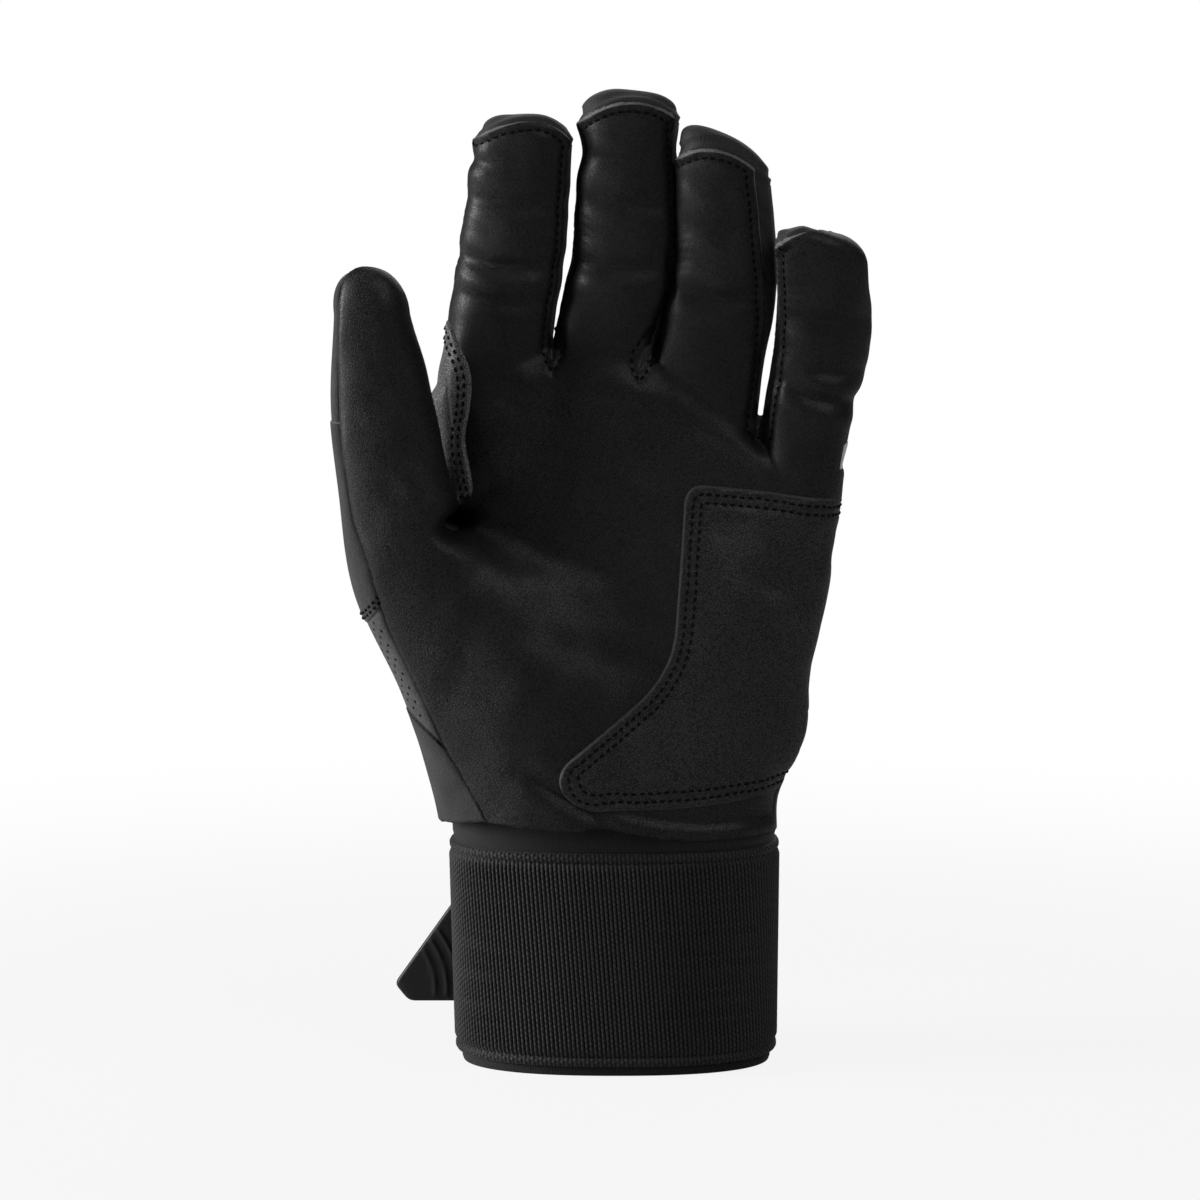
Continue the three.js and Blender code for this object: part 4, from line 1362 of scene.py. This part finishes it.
# %% Heel patch, side strip and pale trim
PATCH_LIFT, STRIP_LIFT, TRIM_LIFT = 1.35, 1.15, 0.7
HEEL_THICKNESS, STRIP_THICKNESS, TRIM_THICKNESS = 0.85, 0.8, 1.1
THINNING = 0.8  # of the heel patch towards the side seam, and of the strip towards its foot and back
HEEL_LEAN = 0.45  # of its raw edge
pale_rubber = Finish("pale_trim_rubber")
speckle = pale_rubber.noise(900.0, 3.0)
pale_sockets = {
    "Base Color": pale_rubber.blend(speckle, grey(0.75), grey(0.88)),
    "Roughness": 0.5 + 0.15 * speckle,
    "Normal": pale_rubber.bump(speckle, 0.05),
}
pale_rubber = pale_rubber.surface(pale_sockets)

heel = hand.part("heel")
heel_piece = sew(
    "heel_patch_layer",
    heel,
    heel_leather,
    PATCH_LIFT - THINNING * smooth_step(-10, -1, heel.points[:, 1]),
    HEEL_THICKNESS,
    raw=["heel_outline"],
    rows=[("heel_outline", d) for d in TWO_ROWS],
    turned=["side_seam"],
    edge=heel_edge,
    lean=HEEL_LEAN,
)
fasten(heel_piece, "heel_patch")
strip_rows = [("strip_hem", d) for d in (0.9, 2.3)]


def sew_strip(name, skin):
    """A length of the side strip, which thins out towards its foot and the back of the hand."""
    _, depth, height = skin.points.T
    thin = smooth_step(-5, STRIP_BACK, depth) + smooth_step(STRIP_FOOT + 5, STRIP_FOOT, height)
    lift = STRIP_LIFT - THINNING * np.minimum(thin, 1)
    return sew(
        name, skin, strip_leather, lift, STRIP_THICKNESS, ["strip_hem"], strip_rows, edge=strip_leather
    )


fasten(sew_strip("index_side_strip", hand.part("strip")), "index_side_panel")
trim = sew("edge_trim_strip", rest.part("trim"), pale_rubber, TRIM_LIFT, TRIM_THICKNESS)
fasten(trim, "edge_trim")
print("heel patch:", len(heel_piece.data.polygons), "faces")

# %% [markdown]
# ## Fingers
# A finger bends at its root and at its middle crease, so each finger is made in two lengths that
# meet half way between the creases, where nothing bends. Each length has its leather, its gusset
# and its back, as sewn.

# %% Sew the fingers
BEND = 7.5  # half the height over which a crease bends
GUSSET_THICKNESS = 0.7
SPLIT_SHARE = 0.45  # of the way between the creases, where a finger's two lengths meet
GUSSET_LIFT, WEB_SWELL = -0.12, 0.25  # the gusset lies deeper than the leather, but less deep at its foot


def bend(piece, parent, child, low, high, slot, node=None):
    """Sets a piece's place into its mesh and lets it take a CAD solid's place; it doesn't bend, and the two
    bodies are not used.
    """
    low / METRE
    high / METRE
    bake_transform(piece)
    if node:
        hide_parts(node)


def sew_length(name, skin):
    """Leather, gusset and back of one length of a finger, as (piece, node's last word, slot)."""
    rows = [("stitch_line", STITCH_ROW)]
    not_leather = skin.part("leather", -1)
    gusset = not_leather.part("back", -1)
    above = gusset.points[:, 2] - CROTCH(gusset.points[:, 0])
    gusset_lift = GUSSET_LIFT + WEB_SWELL * smooth_step(14, 7, above)
    front = sew(
        f"{name}_leather", skin.part("leather"), finger_leather, **sheet, raw=["leather"], rows=rows
    )
    back = sew(f"{name}_back", not_leather.part("back"), finger_back_cloth, CLOTH_LIFT)
    side = sew(f"{name}_gusset", gusset, gusset_cloth, gusset_lift, GUSSET_THICKNESS)
    return [(front, "front", "leather"), (back, "back", "stretch_cloth"), (side, "gusset", "stretch_cloth")]


for n, finger in enumerate(FINGERS):
    skin = digits
    if n > 0:
        skin = skin.part(f"after_{FINGERS[n - 1].name}")
    if n < len(FINGERS) - 1:
        skin = skin.part(f"after_{finger.name}", -1)
    root, middle, _ = FINGER_SIZES[finger.name]["heights"]
    split = root + BEND + SPLIT_SHARE * (middle - root - 2 * BEND)
    skin.fields["split"] = skin.points[:, 2] - split
    lengths = [
        ("root", skin.part("split", -1), "hand", f"{finger.name}_lower", root),
        ("tip", skin.part("split"), f"{finger.name}_lower", f"{finger.name}_upper", middle),
    ]
    for length, stretch, parent, child, crease in lengths:
        bending = parent, child, crease - BEND, crease + BEND
        for piece, word, slot in sew_length(f"{finger.name}_{length}", stretch):
            bend(piece, *bending, slot, f"{child}_{word}")
        if finger.name == "index" and length == "root":
            bend(sew_strip("index_side_strip_top", stretch.part("strip")), *bending, "leather")
    print(finger.name, "finger split at", round(split, 1), "mm")

# %% [markdown]
# The thumb's back is suede. Its lower length laps over the upper one, so that the joint
# between them stays covered.

# %% Sew the thumb
THUMB_SPLIT, SUEDE_LAP, TIP_BEND = 161.5, 3, 14
thumb_skin.fields["split"] = thumb_skin.points[:, 2] - THUMB_SPLIT
thumb_skin.fields["suede_end"] = thumb_skin.fields["split"] - SUEDE_LAP
for length, side, parent, child, low, high, suede_lift in [
    ("root", -1, "hand", "thumb_lower", THUMB_FOOT + 1, THUMB_SPLIT - 1, SUEDE_LIFT),
    ("tip", 1, "thumb_lower", "thumb_upper", THUMB_SPLIT, THUMB_SPLIT + TIP_BEND, CLOTH_LIFT),
]:
    stretch = thumb_skin.part("split", side)
    front = sew(f"thumb_{length}_leather", stretch.part("leather"), palm_leather, **sheet, **closed)
    end = "suede_end" if length == "root" else "split"
    suede = thumb_skin.part(end, side).part("leather", -1)
    bend(front, parent, child, low, high, "leather", f"{child}_front")
    behind = sew(
        f"thumb_{length}_suede", suede, charcoal_suede, suede_lift, raw=["suede_end"], **closed
    )
    bend(behind, parent, child, low, high, "suede", f"{child}_back")
print("thumb in two lengths, split at", THUMB_SPLIT, "mm")

# %% [markdown]
# ## The cuff
# Below the hem a smooth band carries on to the rim, and a wide woven elastic goes round it from
# behind the thumb to the back. The elastic's ribs are its look, so they are real: the
# outline is walked by arc length, and each rib is a few points of a wave.

# %% Rings and sectors of the cuff
CUFF_HEIGHT = 66
CUFF_RIM, CUFF_TOP = (4.1, 0.6, 78.2, 49), (3.5, 0.4, 80.6, 48)  # x, y, width, depth
HALF_WAY = 30.0  # a height at which the cuff is measured
FINE_STEPS = 1600  # by which an outline is walked
FULL_TURN = 2 * math.pi


def cuff_oval(z):
    """Middle and size of the cuff's oval at a height: x, y, width, depth."""
    t = z / CUFF_HEIGHT
    return [low + (high - low) * t for low, high in zip(CUFF_RIM, CUFF_TOP)]


def signed_power(values, power):
    return np.sign(values) * np.abs(values) ** power


def cuff_loop(z, grow, first, last, count):
    """Evenly spaced points round the cuff between two angles, their normals, and the length."""
    cx, cy, width, depth = cuff_oval(z)
    angle = np.linspace(first, last, FINE_STEPS)
    wide = signed_power(np.cos(angle), 2 / ROUNDNESS) * (width / 2 + grow)
    deep = signed_power(np.sin(angle), 2 / ROUNDNESS) * (depth / 2 + grow)
    along = np.concatenate([[0], np.cumsum(np.hypot(np.diff(wide), np.diff(deep)))])
    at = np.linspace(0, along[-1], count)
    x, y = cx + np.interp(at, along, wide), cy + np.interp(at, along, deep)
    loop = np.stack([x, y, np.full(count, z)], 1)
    step = np.gradient(loop, axis=0)
    return loop, unit(np.stack([step[:, 1], -step[:, 0], np.zeros(count)], 1)), along[-1]


def angle_at(x=None, y=None):
    """Angle of the point of the cuff's back half at an x, or of its thumb side at a y."""
    cx, cy, width, depth = cuff_oval(HALF_WAY)
    if x is not None:
        share = (x - cx) / (width / 2)
        return math.acos(math.copysign(abs(share) ** (ROUNDNESS / 2), share))
    return math.pi - math.asin(((y - cy) / (depth / 2)) ** (ROUNDNESS / 2))


def slab(name, outer, inner, finishes, closed=False, sharp_angle=50, marks=None):
    """A closed sheet between an outer and an inner grid of points, in rows."""
    rows, count = outer.shape[:2]
    number = np.arange(rows * count).reshape(rows, count)
    if closed:
        number = np.concatenate([number, number[:, :1]], 1)
    a, b, c, d = number[:-1, :-1], number[:-1, 1:], number[1:, 1:], number[1:, :-1]
    front = np.stack([a, b, c, d], -1).reshape(-1, 4)
    shift = rows * count
    rim = [number[0, ::-1], number[-1]]
    if not closed:
        sides = [number[0], number[1:, -1], number[-1, -2::-1], number[-2::-1, 0]]
        rim = [np.concatenate(sides)[::-1]]
    quads = [np.stack([r[:-1], r[1:], r[1:] + shift, r[:-1] + shift], 1) for r in rim]
    walls = np.concatenate(quads)
    points = np.concatenate([outer.reshape(-1, 3), inner.reshape(-1, 3)])
    patches = [(front, 0, None), (walls, 0, None), (front[:, ::-1] + shift, 1, None)]
    return add_object(name, points, patches, finishes, sharp_angle, marks)


print("cuff outline:", round(cuff_loop(HALF_WAY, 0, 0, FULL_TURN, 64)[2]), "mm round")

# %% [markdown]
# The smooth band is plain stretch cloth. It swells a little above the elastic, where the
# hand's hem presses on it, and its lower edge is rounded in.

# %% The smooth band
band_smooth = knit_finish("smooth_band_cloth", 0.014, 0.6, 0.7)
CUFF_WALL, BAND_POINTS = 1.4, 220
band_heights = np.concatenate([[0, 0.25, 0.7], np.linspace(2, CUFF_HEIGHT - 0.7, 30), [CUFF_HEIGHT]])


BAND_SWELL, SWELL_HEIGHT, RIM_ROUNDING = 0.8, 60, 0.25


def band_grid(grow):
    rows = []
    for z in band_heights:
        loop, out, _ = cuff_loop(z, grow, 0, FULL_TURN, BAND_POINTS + 1)
        swell = BAND_SWELL * hill(z - SWELL_HEIGHT, 3.2) - RIM_ROUNDING * hill(z, 0.4)
        rows.append((loop + out * swell)[:-1])
    return np.array(rows)


band_finishes = [band_smooth, lining]
cuff_band = slab("cuff_smooth_band", band_grid(0), band_grid(-CUFF_WALL), band_finishes, closed=True)
fasten(cuff_band, "cuff_band")
print("band:", len(cuff_band.data.polygons), "faces")

# %% [markdown]
# The elastic is woven in upright ribs. Its finish counts them by a mark on the mesh, so that
# the small beads along each rib stand out of step with those of the next, and it paints shade
# into the valleys between the ribs.


# %% Woven elastic
def elastic_finish(name, tone):
    """Ribs counted by a mark on the mesh, each beaded out of step with the next, with painted shade in the
    valleys between them.
    """
    f = Finish(name)
    rib = f.mark("rib")
    number = f.node("Math", {"operation": "FLOOR"}, {0: rib})
    ridge = f.sine((rib - number) * math.pi)
    height = f.parts(f.place())[2]
    beads = f.sine(height * (2 * math.pi * METRE / BEAD_PITCH) + number * math.pi)
    fuzz = f.noise(2600.0, 3.0)
    # painted shade: the colour falls almost to black in the valleys between ribs, under the weave's own
    # beads and fuzz
    rib_shade_and_weave = ridge * (0.86 + 0.14 * beads) + 0.25 * fuzz
    colour = f.blend(f.ramp(rib_shade_and_weave, 0.35, 1.15), grey(tone * 0.04), grey(tone * 2.2))
    sockets = {"Base Color": colour, "Roughness": 0.62}
    sockets["Normal"] = f.bump(beads * ridge * 0.3 + fuzz * 0.4, 0.3)
    return f.surface({**sockets, "Sheen Weight": 0.1, "Specular IOR Level": 0.25})


BEAD_PITCH = 1.36  # along a rib
woven = elastic_finish("woven_elastic", 0.0135)
ELASTIC_LIFT, ELASTIC_HEIGHT, ELASTIC_THICKNESS, SEAM_GAP = 2.5, 54, 1.5, 0.3
ELASTIC_START_Y, ELASTIC_END_X = 7, 24
ELASTIC_RIB, RIB_POINTS, RIB_RISE, RIB_SLANT = 1.064, 6, 0.6, 0.068
BORDER = 2.4  # woven border along the elastic's edges
elastic_top = ELASTIC_LIFT + ELASTIC_HEIGHT
first, last = angle_at(y=ELASTIC_START_Y), FULL_TURN + angle_at(x=ELASTIC_END_X)
elastic_round = cuff_loop(HALF_WAY, SEAM_GAP, first, last, 64)[2]
ribs = round(elastic_round / ELASTIC_RIB)
edge_rows = np.array([0, 0.3, 0.9, 1.6, BORDER - 0.3, BORDER, BORDER + 0.4])
ribbed_rows = np.linspace(ELASTIC_LIFT + 4, elastic_top - 4, 30)
elastic_heights = np.concatenate(
    [ELASTIC_LIFT + edge_rows, ribbed_rows, elastic_top - edge_rows[::-1]]
)
rib_slant = RIB_SLANT / ELASTIC_RIB * elastic_heights[:, None]
rib_count = np.linspace(0, ribs, ribs * RIB_POINTS + 1) + rib_slant


def elastic_grid(outside):
    rows = []
    for z, rib_wave in zip(elastic_heights, np.abs(np.sin(np.pi * rib_count))):
        loop, out, _ = cuff_loop(z, SEAM_GAP, first, last, len(rib_wave))
        edge = min(z - ELASTIC_LIFT, elastic_top - z)
        ribbed = smooth_step(BORDER, BORDER + 1.2, edge) * 0.75 + 0.25
        groove = 0.45 * hill(edge - BORDER, 0.35)
        roll = 0.3 * hill(edge - BORDER / 2, 0.8) - groove - 0.5 * hill(edge, 0.3)
        thick = ELASTIC_THICKNESS - RIB_RISE + roll + RIB_RISE * rib_wave * ribbed
        rows.append(loop + out * (thick[:, None] if outside else 0))
    return np.array(rows)


rib_marks = {"rib": np.stack([rib_count, rib_count])}
elastic = slab(
    "wrist_elastic_ribbed",
    elastic_grid(True),
    elastic_grid(False),
    [woven, lining],
    sharp_angle=60,
    marks=rib_marks,
)
fasten(elastic, "wrist_elastic")
print("elastic:", ribs, "ribs over", round(elastic_round), "mm")

# %% [markdown]
# ## The closing strap
# The strap lies over the gap in the elastic on the back of the wrist. Under it a patch of soft
# loops faces a patch of small hooks, and a rubber tab at its free end is there to pull on. The
# photograph shows only the tab's point, past the thumb's side of the cuff.

# %% Loop patch, strap and hook patch
webbing = knit_finish("strap_webbing", 0.02, 1.4)
loop_pile = suede_finish("loop_pile", 0.02)
hook_plastic = thread_finish("hook_plastic", 0.03)
STRAP_LIFT, STRAP_HEIGHT, STRAP_END, STRAP_OVERLAP = 8, 36, -28, 6
PATCH_THICKNESS, STRAP_THICKNESS, HOOK_INSET, TAB_SEAT = 0.6, 1.4, 1, 10
strap_top = STRAP_LIFT + STRAP_HEIGHT
strap_inside = 3 * SEAM_GAP + 2 * PATCH_THICKNESS
hook_inside = 2 * SEAM_GAP + PATCH_THICKNESS
strap_root = ELASTIC_END_X + STRAP_OVERLAP


BACK_POINTS, BACK_ROWS = 120, 34
SEWN_IN, SEWN_DIP = 3, 0.2  # rows of sewing along the strap's edges


def plain(z):
    """No relief at any height."""
    return 0.0 * z


def sewn_rows(z):
    """Dips where thread holds the strap's two layers together."""
    return -SEWN_DIP * (hill(z - STRAP_LIFT - SEWN_IN, 0.6) + hill(z - strap_top + SEWN_IN, 0.6))


def back_slab(name, inside, thickness, heights, across, finishes, texture=plain):
    """A sheet over the back of the cuff between two heights and two places across."""
    low, high = heights
    right, left = (angle_at(x=x) for x in across)
    outer, inner = [], []
    ease = np.array([0, 0.25, 0.7])
    middle_rows = np.linspace(low + 1.5, high - 1.5, BACK_ROWS)
    number = np.arange(BACK_POINTS)
    from_ends = np.minimum(number, number[::-1]) * 0.5
    for z in np.concatenate([low + ease, middle_rows, high - ease[::-1]]):
        loop, out, _ = cuff_loop(z, inside, right, left, BACK_POINTS)
        edge = np.minimum(min(z - low, high - z), from_ends)
        rise = thickness - 0.3 * np.minimum(thickness, 0.8) * hill(edge, 0.5) + texture(z)
        outer.append(loop + out * rise[:, None])
        inner.append(loop)
    return slab(name, np.array(outer), np.array(inner), finishes)


strap_heights = STRAP_LIFT, strap_top
patch_right = ELASTIC_END_X - SEAM_GAP
loops = back_slab(
    "loop_patch_pile",
    SEAM_GAP,
    PATCH_THICKNESS,
    strap_heights,
    (patch_right, STRAP_END),
    [loop_pile, lining],
)
fasten(loops, "loop_patch")
strap = back_slab(
    "closure_strap_web",
    strap_inside,
    STRAP_THICKNESS,
    strap_heights,
    (strap_root, STRAP_END),
    [webbing, webbing],
    sewn_rows,
)
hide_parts("closure_strap")
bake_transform(strap)
hooks = back_slab(
    "hook_patch_hooks",
    hook_inside,
    PATCH_THICKNESS,
    (STRAP_LIFT + HOOK_INSET, strap_top - HOOK_INSET),
    (patch_right, STRAP_END + TAB_SEAT),
    [hook_plastic, hook_plastic],
)
fasten(hooks, "hook_patch", "strap")
print("strap inside at", strap_inside, "mm off the cuff")

# %% [markdown]
# The tab is moulded rubber, so its edges are rounded and faint curved ridges give grip. Its
# outline is filled as a fan of rings that shrink towards the middle, which gives room to
# round the rim and to raise the ridges in the mesh itself.

# %% Pull tab
rubber = Finish("tab_rubber")
dust = rubber.noise(700.0, 4.0)
rubber_sockets = {
    "Base Color": rubber.blend(dust, grey(0.007), grey(0.014)),
    "Roughness": 0.42 + 0.16 * dust,
    "Normal": rubber.bump(rubber.noise(2600.0, 2.0), 0.04),
}
rubber = rubber.surface(rubber_sockets)
TAB_CORNERS = [
    # x, z, corner radius
    (-28.3, 9.8, 0.6),
    (-28.3, 40, 1.2),
    (-36, 38.5, 4),
    (-53, 14.4, 1.6),
    (-49.3, 9.8, 1.6),
]
TAB_THICKNESS, TAB_MIDDLE, TAB_ROUNDING = 2.2, np.array([-37.0, 22.0]), 0.06
RIDGE_CENTRE, RIDGE_RADII, RIDGE_RISE = np.array([-62.0, 13.0]), (19.5, 22.5, 25.5), 0.28
tab_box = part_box("pull_tab")
tab_y = (tab_box[0].y + tab_box[1].y) / 2 * METRE


def tab_faces():
    """Front and back of the tab as rings that shrink to its middle, with a rounded rim."""
    outline = rounded_outline(TAB_CORNERS, 0.5)[::-1]
    rings = []
    for share in [0, 0.012, 0.03, TAB_ROUNDING, *np.linspace(0.12, 0.97, 24)]:
        ring = outline + (TAB_MIDDLE - outline) * share
        inward = 1 - min(share / TAB_ROUNDING, 1)
        rim = TAB_THICKNESS / 2 * np.sqrt(np.clip(1 - inward**2, 0, 1)) * 0.98 + 0.02
        reach = np.linalg.norm(ring - RIDGE_CENTRE, axis=1)
        ridge = sum(hill(reach - radius, 0.55) for radius in RIDGE_RADII)
        rings.append((ring, rim + RIDGE_RISE * ridge * smooth_step(0.08, 0.16, share)))
    return rings


def make_tab():
    """The tab's two faces, each closed by a fan, with a wall round the rim."""
    rings = tab_faces()
    count = len(rings[0][0])
    points, faces, caps = [], [], []
    for side in (-1, 1):
        start = len(points)
        for ring, height in rings:
            points += [(px, tab_y + side * h, pz) for (px, pz), h in zip(ring, height)]
        for r in range(len(rings) - 1):
            for n in range(count):
                a, b = start + r * count + n, start + r * count + (n + 1) % count
                quad = (a, b, b + count, a + count)
                faces.append(quad if side < 0 else quad[::-1])
        centre = len(points)
        inner = start + (len(rings) - 1) * count
        points.append(tuple(np.mean(points[inner:], axis=0)))
        for n in range(count):
            tri = (inner + n, inner + (n + 1) % count, centre)
            caps.append(tri if side < 0 else tri[::-1])
    other = len(rings) * count + 1
    rim = [(n, other + n, other + (n + 1) % count, (n + 1) % count) for n in range(count)]
    patches = [(np.array(part), 0, None) for part in (faces, caps, rim)]
    return add_object("pull_tab_moulded", np.array(points), patches, [rubber], 60)


tab = make_tab()
fasten(tab, "pull_tab", "strap")
print("tab:", len(tab.data.polygons), "faces")

# %% [markdown]
# ## Stage, light and camera
# The photograph is a studio shot on white: soft light from the upper left, a long lens a little
# above the middle of the glove. The floor is white to the camera and still takes a soft
# shadow, because only part of what the camera sees of it is its own light.

# %% Floor and world
floor_finish = Finish("white_floor")
ray = floor_finish.node("LightPath", out="Is Camera Ray")
plain_white = floor_finish.node("BsdfDiffuse", {}, {"Color": (0.5, 0.5, 0.5, 1)})
glow = floor_finish.node("Emission", {}, {"Color": (1, 1, 1, 1), "Strength": 1.0})
FLOOR_GLOW, SHADOW_REACH = 0.88, (0.16, 0.5)
away = floor_finish.node("VectorMath", {"operation": "LENGTH"}, {0: floor_finish.place()}, out="Value")
share = floor_finish.ramp(away, *SHADOW_REACH, FLOOR_GLOW, 1.0)
mixed = floor_finish.node("MixShader", {}, {0: ray * share, 1: plain_white, 2: glow})
floor_finish.node("OutputMaterial", {}, {"Surface": mixed})
FLOOR_SIZE = 6000
corner = np.array([(-1, -1, 0), (1, -1, 0), (1, 1, 0), (-1, 1, 0)]) * FLOOR_SIZE / 2
floor = add_object("floor", corner, [(np.array([[0, 1, 2, 3]]), 0, None)], [floor_finish.owner], 30)
floor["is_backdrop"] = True

sky = Finish("white_studio", bpy.data.worlds)
bpy.context.scene.world = sky.owner
seen = sky.node("LightPath", out="Is Camera Ray")
through = sky.node("LightPath", out="Is Transmission Ray")
mirrored = sky.node("LightPath", out="Is Glossy Ray")
AMBIENT, MIRRORED = 0.025, 0.03
strength = AMBIENT + (1 - AMBIENT) * (seen + through) + MIRRORED * mirrored
background = sky.node("Background", {}, {"Color": (1, 1, 1, 1), "Strength": strength})
sky.node("OutputWorld", {}, {"Surface": background})
print("floor and world made")

# %% [markdown]
# One large softbox on the thumb's side makes the highlights on the leather. Weaker ones lift
# the palm, the back and the fingertips. The lens is long, so the fingers keep their widths.

# %% Lights and camera
GLOVE_MIDDLE = Vector((0, -0.01, 0.1185))


def softbox(name, place, size, power):
    """A square area light that faces the glove."""
    light = bpy.data.lights.new(name, "AREA")
    light.shape, light.size, light.energy = "SQUARE", size, power
    lamp = bpy.data.objects.new(name, light)
    lamp.location = place
    lamp.rotation_euler = (GLOVE_MIDDLE - Vector(place)).to_track_quat("-Z", "Y").to_euler()
    bpy.context.scene.collection.objects.link(lamp)


softbox("key_left", (-1.4, -0.16, 0.45), 0.7, 28.5)
softbox("fill_front", (0.85, -0.85, 1.2), 1.2, 7.6)
softbox("fill_back", (0.5, 1.5, 0.9), 1.0, 4)
softbox("top", (-0.1, 0.0, 1.4), 0.9, 1.4)

VIEW_HEIGHT, VIEW_DISTANCE = math.radians(8), 1.4
PHOTO_WIDTH = 0.3  # metres across the picture at the glove
SENSOR = 36
camera_data = bpy.data.cameras.new("camera")
camera_data.sensor_width = SENSOR
camera_data.lens = SENSOR * VIEW_DISTANCE / PHOTO_WIDTH
camera = bpy.data.objects.new("camera", camera_data)
towards = Vector((0, math.cos(VIEW_HEIGHT), -math.sin(VIEW_HEIGHT)))
camera.location = GLOVE_MIDDLE - towards * VIEW_DISTANCE
camera.rotation_euler = towards.to_track_quat("-Z", "Y").to_euler()
bpy.context.scene.collection.objects.link(camera)
bpy.context.scene.camera = camera
bpy.context.scene.view_settings.view_transform = "Standard"
print("lens, mm:", round(camera_data.lens))

# %% [markdown]
# The visual model is made to the CAD part's size, and its box is printed. The visual
# model has to keep the CAD part's size.

# %% Measure and finish
low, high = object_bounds()
print("visual box, mm:", [round(v * METRE, 1) for v in (*low, *high)])
